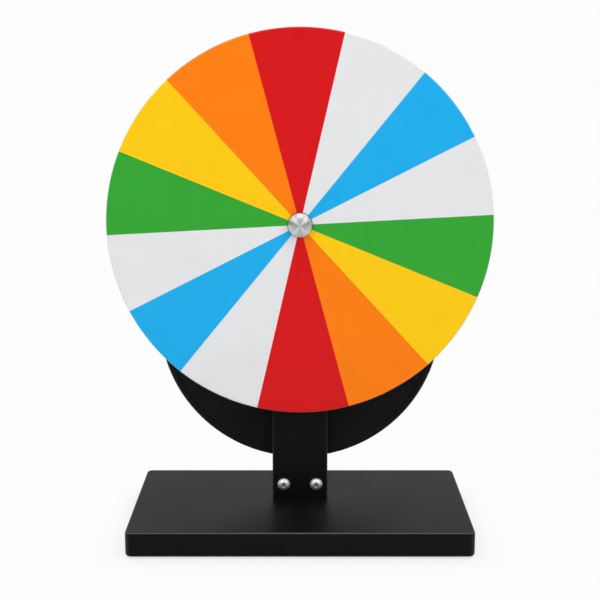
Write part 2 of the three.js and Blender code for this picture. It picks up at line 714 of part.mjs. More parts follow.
function domeNut() {
  const threadEnd = DOME_SEAT - DOME_THREAD_DEPTH;
  const skirtEnd = DOME_SEAT - DOME_SKIRT;
  const top = DOME_SEAT - DOME_HEIGHT;
  const outline = new THREE.Path();
  outline.moveTo(0, threadEnd);
  outline.lineTo(SHAFT_HOLE, threadEnd);
  outline.lineTo(SHAFT_HOLE, DOME_SEAT);
  outline.lineTo(DOME_RADIUS - DOME_EASE, DOME_SEAT);
  outline.lineTo(DOME_RADIUS, DOME_SEAT - DOME_EASE);
  outline.lineTo(DOME_RADIUS, skirtEnd);
  outline.bezierCurveTo(DOME_RADIUS, top, DOME_RADIUS * DOME_CROWN_SHARE, top, 0, top);
  return turned(outline, ROUND_FACETS, DOME_STEPS);
}

// Pulleys: the groove is a round channel that holds the belt with a little room

function pulleyRim(outline, beltRadius, y0, y1) {
  const channel = BELT_RADIUS + BELT_CLEARANCE;
  const outer = beltRadius + PULLEY_FLANGE;
  const edge = PULLEY_EDGE_RADIUS;
  outline.lineTo(outer - edge, y0);
  outline.lineTo(outer, y0 + edge);
  outline.lineTo(outer, BELT_Y - channel);
  outline.lineTo(beltRadius, BELT_Y - channel);
  outline.absarc(beltRadius, BELT_Y, channel, -Math.PI / 2, -1.5 * Math.PI, true);
  outline.lineTo(outer, BELT_Y + channel);
  outline.lineTo(outer, y1 - edge);
  outline.lineTo(outer - edge, y1);
}

function smallPulley() {
  const outline = new THREE.Path();
  outline.moveTo(SHAFT_HOLE, PULLEY_FRONT);
  pulleyRim(outline, SMALL_PULLEY_RADIUS, PULLEY_FRONT, PULLEY_BACK);
  outline.lineTo(SHAFT_HOLE, PULLEY_BACK);
  outline.lineTo(SHAFT_HOLE, PULLEY_FRONT);
  const grubHole = screwHole(GRUB_RADIUS, 0, SMALL_PULLEY_RADIUS).rotateX(-Math.PI / 2);
  return cut(turned(outline, ROUND_FACETS, GROOVE_STEPS), grubHole.translate(0, BELT_Y, 0));
}

function pulleyGrubScrew() {
  const grooveFloor = SMALL_PULLEY_RADIUS - BELT_RADIUS - BELT_CLEARANCE;
  return grubScrew(SHAFT_HOLE, grooveFloor - GRUB_SINK).translate(0, BELT_Y, 0);
}

const BUSH_OUTER = AXLE_RADIUS + RUNNING_CLEARANCE + BUSH_WALL;
const WHEEL_BORE = BUSH_OUTER + FIXED_CLEARANCE;
const PULLEY_SCREW = {
  headRadius: PULLEY_SCREW_HEAD_RADIUS,
  radius: PULLEY_SCREW_RADIUS,
  length: WEB_FRONT - DRIVE_HUB_FRONT + PULLEY_SCREW_BITE,
};

function pulleyScrewPlaces() {
  return Array.from({ length: PULLEY_SCREWS }, (_, i) => {
    const angle = Math.PI / 2 + (i * 2 * Math.PI) / PULLEY_SCREWS;
    return {
      x: PULLEY_SCREW_CIRCLE_RADIUS * Math.cos(angle),
      z: PULLEY_SCREW_CIRCLE_RADIUS * Math.sin(angle),
    };
  });
}

function drivePulley() {
  const webFront = BELT_Y - DRIVE_PULLEY_WEB / 2;
  const webBack = BELT_Y + DRIVE_PULLEY_WEB / 2;
  const rimInner = DRIVE_PULLEY_RADIUS - BELT_RADIUS - BELT_CLEARANCE - DRIVE_PULLEY_RIM;
  const outline = new THREE.Path();
  outline.moveTo(WHEEL_BORE, DRIVE_HUB_FRONT);
  outline.lineTo(DRIVE_HUB_RADIUS, DRIVE_HUB_FRONT);
  outline.lineTo(DRIVE_HUB_RADIUS, webFront);
  outline.lineTo(rimInner, webFront);
  outline.lineTo(rimInner, PULLEY_FRONT);
  pulleyRim(outline, DRIVE_PULLEY_RADIUS, PULLEY_FRONT, PULLEY_BACK);
  outline.lineTo(rimInner, PULLEY_BACK);
  outline.lineTo(rimInner, webBack);
  outline.lineTo(DRIVE_HUB_RADIUS, webBack);
  outline.lineTo(DRIVE_HUB_RADIUS, WEB_FRONT);
  outline.lineTo(WHEEL_BORE, WEB_FRONT);
  outline.lineTo(WHEEL_BORE, DRIVE_HUB_FRONT);
  const holes = pulleyScrewPlaces().map(({ x, z }) =>
    countersunkHole(PULLEY_SCREW).translate(x, DRIVE_HUB_FRONT, z),
  );
  return cut(turned(outline, LARGE_FACETS, GROOVE_STEPS), ...holes);
}

// Belt: a round cord in a loop over both pulleys

function beltPath() {
  const lean = Math.asin((DRIVE_PULLEY_RADIUS - SMALL_PULLEY_RADIUS) / SHAFT_ABOVE_AXLE);
  const path = new THREE.Path();
  path.absarc(0, SHAFT_Z, SMALL_PULLEY_RADIUS, Math.PI - lean, lean, true);
  path.absarc(0, AXLE_Z, DRIVE_PULLEY_RADIUS, lean, Math.PI - lean, true);
  path.closePath();
  return path;
}

function driveBelt() {
  const points = beltPath().getSpacedPoints(BELT_STEPS).slice(0, -1);
  const route = new THREE.CatmullRomCurve3(
    points.map(({ x, y }) => new THREE.Vector3(x, BELT_Y, y)),
    true,
  );
  return new THREE.TubeGeometry(route, BELT_STEPS, BELT_RADIUS, BELT_SIDES, true);
}

// Crank wheel: a solid web with a low lip in front, a deep rim behind, a long boss for its bushes and a
// boss for the handle

function crankWheel() {
  const rimFront = WEB_FRONT - WHEEL_LIP;
  const rimBack = rimFront + WHEEL_RIM_WIDTH;
  const rimInner = WHEEL_RADIUS - WHEEL_RIM_THICKNESS;
  const lipInner = WHEEL_RADIUS - WHEEL_LIP_WIDTH;
  const edge = WHEEL_RIM_EDGE_RADIUS;
  const fillet = WHEEL_FILLET;
  const outline = new THREE.Path();
  outline.moveTo(WHEEL_BORE, WEB_FRONT);
  outline.lineTo(lipInner - WHEEL_LIP, WEB_FRONT);
  outline.lineTo(lipInner, rimFront);
  outline.absarc(WHEEL_RADIUS - edge, rimFront + edge, edge, -Math.PI / 2, 0, false);
  outline.absarc(WHEEL_RADIUS - edge, rimBack - edge, edge, 0, Math.PI / 2, false);
  outline.absarc(rimInner + edge, rimBack - edge, edge, Math.PI / 2, Math.PI, false);
  outline.lineTo(rimInner, WEB_BACK + fillet);
  outline.lineTo(rimInner - fillet, WEB_BACK);
  outline.lineTo(WHEEL_BOSS_RADIUS + fillet, WEB_BACK);
  outline.lineTo(WHEEL_BOSS_RADIUS, WEB_BACK + fillet);
  outline.lineTo(WHEEL_BOSS_RADIUS, WHEEL_BOSS_BACK);
  outline.lineTo(WHEEL_BORE, WHEEL_BOSS_BACK);
  outline.lineTo(WHEEL_BORE, WEB_FRONT);
  const midWeb = (WEB_FRONT + WEB_BACK) / 2;
  const handleBoss = turned(
    outlineThrough(
      [0, midWeb],
      [HANDLE_BOSS_RADIUS, midWeb],
      [HANDLE_BOSS_RADIUS, HANDLE_BOSS_BACK - HANDLE_BOSS_CHAMFER],
      [HANDLE_BOSS_RADIUS - HANDLE_BOSS_CHAMFER, HANDLE_BOSS_BACK],
      [0, HANDLE_BOSS_BACK],
    ),
  ).translate(0, 0, -HANDLE_CIRCLE_RADIUS);
  const spindleBore = SPINDLE_THREAD_RADIUS + FIXED_CLEARANCE;
  const spindleHole = cylinder(spindleBore, WEB_FRONT - CUT_OVER, HANDLE_BOSS_BACK + CUT_OVER);
  const screwEnd = WEB_FRONT + PULLEY_SCREW_BITE + FIXED_CLEARANCE;
  const screwHoles = pulleyScrewPlaces().map(({ x, z }) =>
    screwHole(PULLEY_SCREW_RADIUS, WEB_FRONT - CUT_OVER, screwEnd).translate(x, 0, z),
  );
  const wheel = join(turned(outline, LARGE_FACETS), handleBoss);
  return cut(wheel, spindleHole.translate(0, 0, -HANDLE_CIRCLE_RADIUS), ...screwHoles);
}

function crankAxle() {
  const front = -WASHER_THICKNESS - AXLE_NUT_HEIGHT - AXLE_TAIL;
  const end = CAP_NUT_SEAT + CAP_NUT_THREAD_DEPTH - RUNNING_GAP;
  const chamfer = TIP_CHAMFER;
  return turned(
    outlineThrough(
      [0, front],
      [AXLE_THREAD_RADIUS - chamfer, front],
      [AXLE_THREAD_RADIUS, front + chamfer],
      [AXLE_THREAD_RADIUS, POST_BACK],
      [AXLE_COLLAR_RADIUS, POST_BACK],
      [AXLE_COLLAR_RADIUS, AXLE_COLLAR_BACK],
      [AXLE_RADIUS, AXLE_COLLAR_BACK],
      [AXLE_RADIUS, AXLE_SHOULDER],
      [AXLE_THREAD_RADIUS, AXLE_SHOULDER],
      [AXLE_THREAD_RADIUS, end - chamfer],
      [AXLE_THREAD_RADIUS - chamfer, end],
      [0, end],
    ),
  );
}

// Handle: a shouldered spindle screwed into its boss, and a grip that turns on it

function handleSpindle() {
  const end = SPINDLE_HEAD + SPINDLE_HEAD_THICKNESS;
  const blank = turned(
    outlineThrough(
      [0, WEB_FRONT],
      [SPINDLE_THREAD_RADIUS, WEB_FRONT],
      [SPINDLE_THREAD_RADIUS, HANDLE_BOSS_BACK],
      [SPINDLE_COLLAR_RADIUS, HANDLE_BOSS_BACK],
      [SPINDLE_COLLAR_RADIUS, SPINDLE_SHOULDER],
      [SPINDLE_RADIUS, SPINDLE_SHOULDER],
      [SPINDLE_RADIUS, SPINDLE_HEAD],
      [SPINDLE_HEAD_RADIUS, SPINDLE_HEAD],
      [SPINDLE_HEAD_RADIUS, end - SPINDLE_HEAD_CHAMFER],
      [SPINDLE_HEAD_RADIUS - SPINDLE_HEAD_CHAMFER, end],
      [0, end],
    ),
  );
  const socketDepth = SPINDLE_HEAD_THICKNESS * SOCKET_SHARE;
  return cut(blank, plate(hexagon(SPINDLE_SOCKET_FLATS), end - socketDepth, end + CUT_OVER));
}

function handleGrip() {
  const bore = SPINDLE_RADIUS + RUNNING_CLEARANCE;
  const edge = GRIP_EDGE_RADIUS;
  const outline = new THREE.Path();
  outline.moveTo(bore, GRIP_FRONT);
  outline.lineTo(GRIP_END_RADIUS - edge, GRIP_FRONT);
  outline.lineTo(GRIP_END_RADIUS, GRIP_FRONT + edge);
  outline.splineThru([
    new THREE.Vector2(GRIP_WAIST_RADIUS, GRIP_FRONT + GRIP_WAIST_AT),
    new THREE.Vector2(GRIP_BELLY_RADIUS, GRIP_FRONT + GRIP_BELLY_AT),
    new THREE.Vector2(GRIP_END_RADIUS, GRIP_BACK - edge / 2),
  ]);
  outline.lineTo(GRIP_END_RADIUS - edge, GRIP_BACK);
  outline.lineTo(bore, GRIP_BACK);
  outline.lineTo(bore, GRIP_FRONT);
  return turned(outline, ROUND_FACETS, GROOVE_STEPS);
}

// The stand

const newtonDisc = new THREE.Group();

part(newtonDisc, "base_board", baseBoard(), BLACK_LACQUER);
for (const { name, x, y } of footPlaces()) {
  part(newtonDisc, `foot_${name}`, foot(), RUBBER, x, y);
  part(newtonDisc, `foot_screw_${name}`, footScrew(), BRIGHT_STEEL, x, y);
}

part(newtonDisc, "post", post(), BLACK_PAINT);
part(newtonDisc, "post_bracket", bracket(), BLACK_PAINT);
const bracketBack = POST_BACK + BRACKET_THICKNESS;
for (const { side, x } of boltPlaces()) {
  const washer = ring(BOLT_RADIUS + FIXED_CLEARANCE, BOLT_WASHER_RADIUS, 0, WASHER_THICKNESS);
  const nut = hexNut(BOLT_NUT_FLATS, BOLT_NUT_HEIGHT, BOLT_RADIUS + FIXED_CLEARANCE, SCREW_FACETS);
  part(newtonDisc, `post_bolt_${side}`, postBolt(), BRIGHT_STEEL, x, 0, BOLT_Z);
  part(newtonDisc, `post_washer_${side}`, washer, BRIGHT_STEEL, x, bracketBack, BOLT_Z);
  part(newtonDisc, `post_nut_${side}`, nut, BRIGHT_STEEL, x, bracketBack + WASHER_THICKNESS, BOLT_Z);
}
for (const { side, sign } of SIDES) {
  const x = (sign * BRACKET_SCREW_SPACING) / 2;
  const z = BASE_TOP + BRACKET_THICKNESS;
  part(newtonDisc, `bracket_screw_${side}`, bracketScrew(), BRIGHT_STEEL, x, BRACKET_SCREW_Y, z);
}

// Everything on the shaft's axis

const shaftLine = groupAt(newtonDisc, 0, 0, SHAFT_Z);
part(shaftLine, "bearing_housing", bearingHousing(), BLACK_PAINT);
const frontBushStart = HOUSING_FRONT - BUSH_FLANGE_THICKNESS;
const rearBushStart = POST_BACK + BUSH_FLANGE_THICKNESS;
part(shaftLine, "disc_bush_front", flangedBush(BEARING_BORE, frontBushStart, BUSH_LENGTH, false), BRONZE);
part(shaftLine, "disc_bush_rear", flangedBush(BEARING_BORE, rearBushStart, BUSH_LENGTH, true), BRONZE);

const discAssembly = groupAt(shaftLine, 0, 0, 0);
part(discAssembly, "disc_shaft", discShaft(), BRIGHT_STEEL);
part(discAssembly, "disc_hub", discHub(), BLACK_PAINT);
part(discAssembly, "hub_grub_screw", hubGrubScrew(), BRIGHT_STEEL);
part(discAssembly, "colour_disc", colourDisc(), DISC_PAINT);
part(discAssembly, "disc_washer", ring(SHAFT_HOLE, DISC_WASHER_RADIUS, DOME_SEAT, DISC_FRONT), FIBRE);
part(discAssembly, "dome_nut", domeNut(), BRIGHT_STEEL);
part(discAssembly, "small_pulley", smallPulley(), GREY_PLASTIC);
part(discAssembly, "pulley_grub_screw", pulleyGrubScrew(), BRIGHT_STEEL);

part(newtonDisc, "drive_belt", driveBelt(), RUBBER);

// Everything on the crank axle's axis

const axleLine = groupAt(newtonDisc, 0, 0, AXLE_Z);
const axleHole = AXLE_THREAD_RADIUS + FIXED_CLEARANCE;
part(axleLine, "crank_axle", crankAxle(), BRIGHT_STEEL);
const frontWasher = ring(axleHole, AXLE_WASHER_RADIUS, -WASHER_THICKNESS, 0);
part(axleLine, "axle_washer_front", frontWasher, BRIGHT_STEEL);
const axleNut = hexNut(AXLE_NUT_FLATS, AXLE_NUT_HEIGHT, axleHole, ROUND_FACETS);
part(axleLine, "axle_nut_front", axleNut, BRIGHT_STEEL, 0, -WASHER_THICKNESS - AXLE_NUT_HEIGHT);
const rearWasher = ring(axleHole, AXLE_WASHER_RADIUS, AXLE_SHOULDER, CAP_NUT_SEAT);
part(axleLine, "axle_washer_rear", rearWasher, BRIGHT_STEEL);
const capNut = domedNut(AXLE_NUT_FLATS, CAP_NUT_HEIGHT, axleHole, CAP_NUT_THREAD_DEPTH);
part(axleLine, "axle_cap_nut", capNut, BRIGHT_STEEL, 0, CAP_NUT_SEAT);

const crankAssembly = groupAt(axleLine, 0, 0, 0);
const axleBore = AXLE_RADIUS + RUNNING_CLEARANCE;
part(crankAssembly, "crank_wheel", crankWheel(), BLACK_PLASTIC);
part(crankAssembly, "drive_pulley", drivePulley(), GREY_PLASTIC);
pulleyScrewPlaces().forEach(({ x, z }, i) => {
  const screw = countersunkScrew(PULLEY_SCREW);
  part(crankAssembly, `pulley_screw_${i + 1}`, screw, BRIGHT_STEEL, x, DRIVE_HUB_FRONT, z);
});
const frontSleeve = WEB_FRONT - DRIVE_HUB_FRONT - RUNNING_GAP;
const rearSleeve = WHEEL_BOSS_LENGTH - RUNNING_GAP;
const rearFlange = WHEEL_BOSS_BACK + BUSH_FLANGE_THICKNESS;
part(crankAssembly, "wheel_bush_front", flangedBush(axleBore, FRONT_BUSH_FLANGE, frontSleeve, false), BRONZE);
part(crankAssembly, "wheel_bush_rear", flangedBush(axleBore, rearFlange, rearSleeve, true), BRONZE);

const handleAssembly = groupAt(crankAssembly, 0, 0, -HANDLE_CIRCLE_RADIUS);
part(handleAssembly, "handle_spindle", handleSpindle(), BRIGHT_STEEL);
part(handleAssembly, "handle_grip", handleGrip(), BLACK_PLASTIC);

export default newtonDisc;
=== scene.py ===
"""Newton colour disc on a post, spun through a round belt by a crank wheel behind the post.

Metres, +Z up, +X to the right as the painted face is seen, +Y away from it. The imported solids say
where every piece is; each piece here is turned, extruded or bevelled afresh at that place and size.
"""

import json
import logging
import math
from collections.abc import Iterable, Sequence
from dataclasses import dataclass, replace
from enum import Enum
from functools import cache
from itertools import pairwise

import bmesh
import bpy
from mathutils import Matrix, Vector
from mathutils.geometry import interpolate_bezier


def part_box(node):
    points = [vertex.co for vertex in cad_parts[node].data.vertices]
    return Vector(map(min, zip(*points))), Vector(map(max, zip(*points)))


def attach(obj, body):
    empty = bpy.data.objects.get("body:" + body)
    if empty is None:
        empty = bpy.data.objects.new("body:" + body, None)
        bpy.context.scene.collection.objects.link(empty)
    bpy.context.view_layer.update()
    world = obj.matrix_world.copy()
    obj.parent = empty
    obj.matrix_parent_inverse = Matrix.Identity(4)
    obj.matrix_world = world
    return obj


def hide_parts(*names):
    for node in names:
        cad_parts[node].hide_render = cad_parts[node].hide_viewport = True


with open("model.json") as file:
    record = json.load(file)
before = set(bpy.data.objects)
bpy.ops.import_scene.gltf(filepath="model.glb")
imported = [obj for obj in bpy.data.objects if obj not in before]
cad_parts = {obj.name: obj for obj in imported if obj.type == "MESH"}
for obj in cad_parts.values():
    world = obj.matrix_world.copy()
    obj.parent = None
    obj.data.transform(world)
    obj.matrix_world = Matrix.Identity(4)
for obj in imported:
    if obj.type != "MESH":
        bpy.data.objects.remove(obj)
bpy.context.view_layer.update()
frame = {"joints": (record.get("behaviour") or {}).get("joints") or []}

LOG = logging.getLogger("newton_disc")

MM = 0.001
WELD = 1e-7
OVER = 1 * MM  # how far a cutter runs past what it cuts
FIT = 0.1 * MM  # room round a piece in its hole
SHARP_ANGLE = math.radians(32)
FINE_STEPS = 256  # round the disc and the wheel
ROUND_STEPS = 96  # round the nuts, the bushes and the shafts
CURVE_STEPS = 14  # along a dome or a groove
EDGE_STEPS = 6  # over the rounded edges of the disc and the wheel
SIDES = ("left", "right")
ENDS = ("front", "rear")

Colour = tuple[float, float, float]
Point = tuple[float, ...]  # a Corner's numbers, in its order
Mesh = bmesh.types.BMesh
Vert = bmesh.types.BMVert
Edge = bmesh.types.BMEdge
Node = bpy.types.Node
Socket = bpy.types.NodeSocket
Feed = Socket | float | Sequence[float]


class Body(Enum):
    """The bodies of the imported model."""

    STAND = "stand"
    DISC = "disc"
    CRANK = "crank"
    GRIP = "grip"


class Facing(Enum):
    """Where the axis of a turned piece points, as a turn about X in degrees."""

    UP = 0.0
    BACK = -90.0
    DOWN = 180.0

    def at(self, x: float, y: float, z: float) -> Matrix:
        """Gives the matrix that turns the axis this way and moves it to a place."""
        return Matrix.Translation((x, y, z)) @ Matrix.Rotation(math.radians(self.value), 4, "X")


class Cut(Enum):
    """What a second solid does to the first."""

    TAKE_OUT = "DIFFERENCE"
    JOIN = "UNION"


class Rounded(Enum):
    """What a rounding runs along."""

    CORNERS = "VERTICES"
    EDGES = "EDGES"


def pivot(joint: str) -> Vector:
    """Gives the point of the frame that a joint turns about."""
    return next(Vector(found["pos_m"]) for found in frame["joints"] if found["name"] == joint)


def centre_of(node: str) -> Vector:
    """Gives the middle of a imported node's box."""
    low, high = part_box(node)
    return (low + high) / 2


def half_width(node: str) -> float:
    """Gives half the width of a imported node, which is the radius of a round one."""
    low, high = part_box(node)
    return (high.x - low.x) / 2


def reach(node: str) -> tuple[float, float]:
    """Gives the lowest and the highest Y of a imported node."""
    low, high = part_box(node)
    return low.y, high.y


@dataclass(frozen=True)
class Corner:
    """One corner of a turned outline.

    Attributes:
        radius: distance from the axis.
        along: place along the axis.
        ease: how far the corner is rounded back along its two sides.
        steps: steps of that rounding.
    """

    radius: float
    along: float
    ease: float = 0.0
    steps: int = 4


def only(kind: type, items: Iterable[object]) -> list:
    """Picks the items of one kind, such as the vertices, from what an operator gives."""
    return [item for item in items if isinstance(item, kind)]


def round_off(
    mesh: Mesh, items: list[Vert] | list[Edge], radius: float, steps: int, what: Rounded = Rounded.EDGES
) -> None:
    """Rounds corners or edges off.

    Args:
        mesh: the mesh that they belong to.
        items: the corners or the edges.
        radius: how round they get.
        steps: steps of the rounding.
        what: which of the two they are.
    """
    bmesh.ops.bevel(
        mesh,
        geom=items,
        offset=radius,
        offset_type="OFFSET",
        segments=steps,
        profile=0.5,
        affect=what.value,
        material=-1,
    )


def edges_at(mesh: Mesh, **place: float) -> list[Edge]:
    """Finds the edges of a mesh that lie at a place.

    Args:
        mesh: the mesh.
        place: one or more of x, y and z.

    Returns:
        The edges whose two ends are both there.
    """
    found = []
    for edge in mesh.edges:
        away = [abs(getattr(vert.co, axis) - value) for vert in edge.verts for axis, value in place.items()]
        if max(away) < WELD:
            found.append(edge)
    return found


def turned(outline: Sequence[Point], steps: int = ROUND_STEPS) -> Mesh:
    """Spins an outline round the Z axis into a closed solid.

    Args:
        outline: its corners, from axis to axis or round a bore.
        steps: steps of the full turn.

    Returns:
        The solid.
    """
    mesh = bmesh.new()
    corners = [Corner(*point) for point in outline]
    points = [mesh.verts.new((corner.radius, 0.0, corner.along)) for corner in corners]
    for pair in pairwise(points):
        mesh.edges.new(pair)
    if corners[0].radius > 0.0:
        mesh.edges.new((points[-1], points[0]))
    for point, corner in zip(points, corners):
        if corner.ease > 0.0:
            round_off(mesh, [point], corner.ease, corner.steps, Rounded.CORNERS)
    bmesh.ops.spin(
        mesh,
        geom=mesh.verts[:] + mesh.edges[:],
        cent=(0.0, 0.0, 0.0),
        axis=(0.0, 0.0, 1.0),
        angle=math.tau,
        steps=steps,
        use_merge=True,
    )
    bmesh.ops.remove_doubles(mesh, verts=mesh.verts, dist=WELD)
    bmesh.ops.recalc_face_normals(mesh, faces=mesh.faces)
    return mesh


def rod(radius: float, low: float, high: float) -> Mesh:
    """Makes a plain round bar along Z, which serves as a cutter."""
    return turned([(0.0, low), (radius, low), (radius, high), (0.0, high)])


def collar(inner: float, outer: float, low: float, high: float, ease: float) -> Mesh:
    """Makes a plain ring along Z with eased outer edges."""
    outline = [(inner, low), (outer, low, ease), (outer, high, ease), (inner, high)]
    return turned(outline)


def swept(start: Point, first: Point, second: Point, end: Point) -> list[Point]:
    """Runs a smooth curve from its start to its end, bent by two handles, and gives its corners."""
    places = [Vector(point) for point in (start, first, second, end)]
    return [(max(point.x, 0.0), point.y) for point in interpolate_bezier(*places, CURVE_STEPS)]


def drawn_out(mesh: Mesh, way: Sequence[float]) -> Mesh:
    """Draws a flat mesh out into a solid.

    Args:
        mesh: the flat mesh.
        way: how far and where.

    Returns:
        The same mesh.
    """
    lifted = bmesh.ops.extrude_face_region(mesh, geom=mesh.faces[:])["geom"]
    bmesh.ops.translate(mesh, verts=only(Vert, lifted), vec=way)
    bmesh.ops.recalc_face_normals(mesh, faces=mesh.faces)
    return mesh


def hexagon(across_flats: float) -> tuple[float, float, float]:
    """Measures a hexagon.

    Args:
        across_flats: its width from flat to flat.

    Returns:
        Its half width, the radius of its corners, and how far a chamfer of 30 degrees cuts those back.
    """
    edge = across_flats / 2
    corner = across_flats / math.sqrt(3)
    return edge, corner, (corner - edge) * math.tan(math.radians(30))


def prism(across_flats: float, low: float, high: float) -> Mesh:
    """Makes a hexagonal bar along Z with two corners on the X axis.

    Args:
        across_flats: its width from flat to flat.
        low: where it starts.
        high: where it ends.

    Returns:
        The solid.
    """
    mesh = bmesh.new()
    start = Matrix.Translation((0.0, 0.0, low)) @ Matrix.Rotation(math.radians(30), 4, "Z")
    radius = hexagon(across_flats)[1]
    bmesh.ops.create_circle(mesh, cap_ends=True, radius=radius, segments=6, matrix=start)
    return drawn_out(mesh, (0.0, 0.0, high - low))


def hexed(mesh: Mesh, across_flats: float) -> Mesh:
    """Mills six flats on a turned blank along Z, with two corners on the X axis.

    Args:
        mesh: the blank.
        across_flats: width from flat to flat.

    Returns:
        The same mesh.
    """
    for side in range(6):
        angle = math.radians(30 + 60 * side)
        normal = Vector((math.cos(angle), math.sin(angle), 0.0))
        sliced = bmesh.ops.bisect_plane(
            mesh,
            geom=mesh.verts[:] + mesh.edges[:] + mesh.faces[:],
            plane_co=normal * across_flats / 2,
            plane_no=normal,
            clear_outer=True,
        )
        bmesh.ops.edgeloop_fill(mesh, edges=only(Edge, sliced["geom_cut"]))
    bmesh.ops.recalc_face_normals(mesh, faces=mesh.faces)
    return mesh


def moved(mesh: Mesh, matrix: Matrix) -> Mesh:
    """Turns and moves a mesh, and gives it back."""
    bmesh.ops.transform(mesh, matrix=matrix, verts=mesh.verts)
    return mesh


def stood(mesh: Mesh, node: str, height: float = 0.0) -> Mesh:
    """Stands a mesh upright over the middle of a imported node, with its 0 at a height."""
    centre = centre_of(node)
    return moved(mesh, Facing.UP.at(centre.x, centre.y, height))


@dataclass(frozen=True)
class Axis:
    """A line that runs straight backwards, with pieces and holes round it.

    Attributes:
        x: its place to the right.
        z: its height.
    """

    x: float
    z: float

    @classmethod
    def through(cls, node: str) -> "Axis":
        """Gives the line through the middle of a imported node."""
        centre = centre_of(node)
        return cls(centre.x, centre.z)

    def lay(self, mesh: Mesh, start: float = 0.0) -> Mesh:
        """Lays a mesh that was made along Z on the line, with its 0 at a Y."""
        return moved(mesh, Facing.BACK.at(self.x, start, self.z))

    def hole(self, radius: float, front: float, back: float) -> Mesh:
        """Makes the cutter of the hole for a round piece through what lies between two faces."""
        return self.lay(rod(radius + FIT, front - OVER, back + OVER))


SHAFT = Axis(0.0, pivot("disc_spin").z)
AXLE = Axis(0.0, pivot("crank_turn").z)
BELT_Y = sum(reach("drive_belt")) / 2


def on_bench(mesh: Mesh, name: str) -> bpy.types.Object:
    """Puts a mesh into an object of its own and frees it.

    Args:
        mesh: the mesh.
        name: name of the object and its data.

    Returns:
        The object.
    """
    data = bpy.data.meshes.new(name)
    mesh.to_mesh(data)
    mesh.free()
    made = bpy.data.objects.new(name, data)
    bpy.context.scene.collection.objects.link(made)
    return made


def combined(mesh: Mesh, others: Sequence[Mesh], cut: Cut = Cut.TAKE_OUT) -> Mesh:
    """Takes solids out of a solid, or joins them to it.

    Args:
        mesh: the solid that is worked on.
        others: the solids taken out or joined on.
        cut: which of the two.

    Returns:
        The solid that is left.
    """
    stock = on_bench(mesh, "stock")
    tools = [on_bench(other, "tool") for other in others]
    for tool in tools:
        step = stock.modifiers.new("step", "BOOLEAN")
        step.operation = cut.value
        step.solver = "EXACT"
        step.object = tool
    bpy.context.view_layer.update()
    result = bmesh.new()
    result.from_object(stock, bpy.context.evaluated_depsgraph_get())
    for scrap in (stock, *tools):
        data = scrap.data
        bpy.data.objects.remove(scrap)
        bpy.data.meshes.remove(data)
    bmesh.ops.remove_doubles(result, verts=result.verts, dist=WELD)
    return result


def settle(mesh: Mesh, name: str, finish: "Finish", body: Body, *nodes: str) -> None:
    """Makes a mesh a finished piece of the object.

    Args:
        mesh: the piece, in its place.
        name: its name.
        finish: what it is made and coated with.
        body: the body that it rides on.
        nodes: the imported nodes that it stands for.
    """
    for face in mesh.faces:
        face.smooth = True
    for edge in mesh.edges:
        edge.smooth = edge.calc_face_angle(0.0) < SHARP_ANGLE
    piece = on_bench(mesh, name)
    piece.data.materials.append(finish.material())
    shading = piece.modifiers.new("even shading", "WEIGHTED_NORMAL")
    shading.keep_sharp = True
    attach(piece, body.value)
    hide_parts(*nodes)
    LOG.info("%s: %d faces, on %s", name, len(piece.data.polygons), body.value)


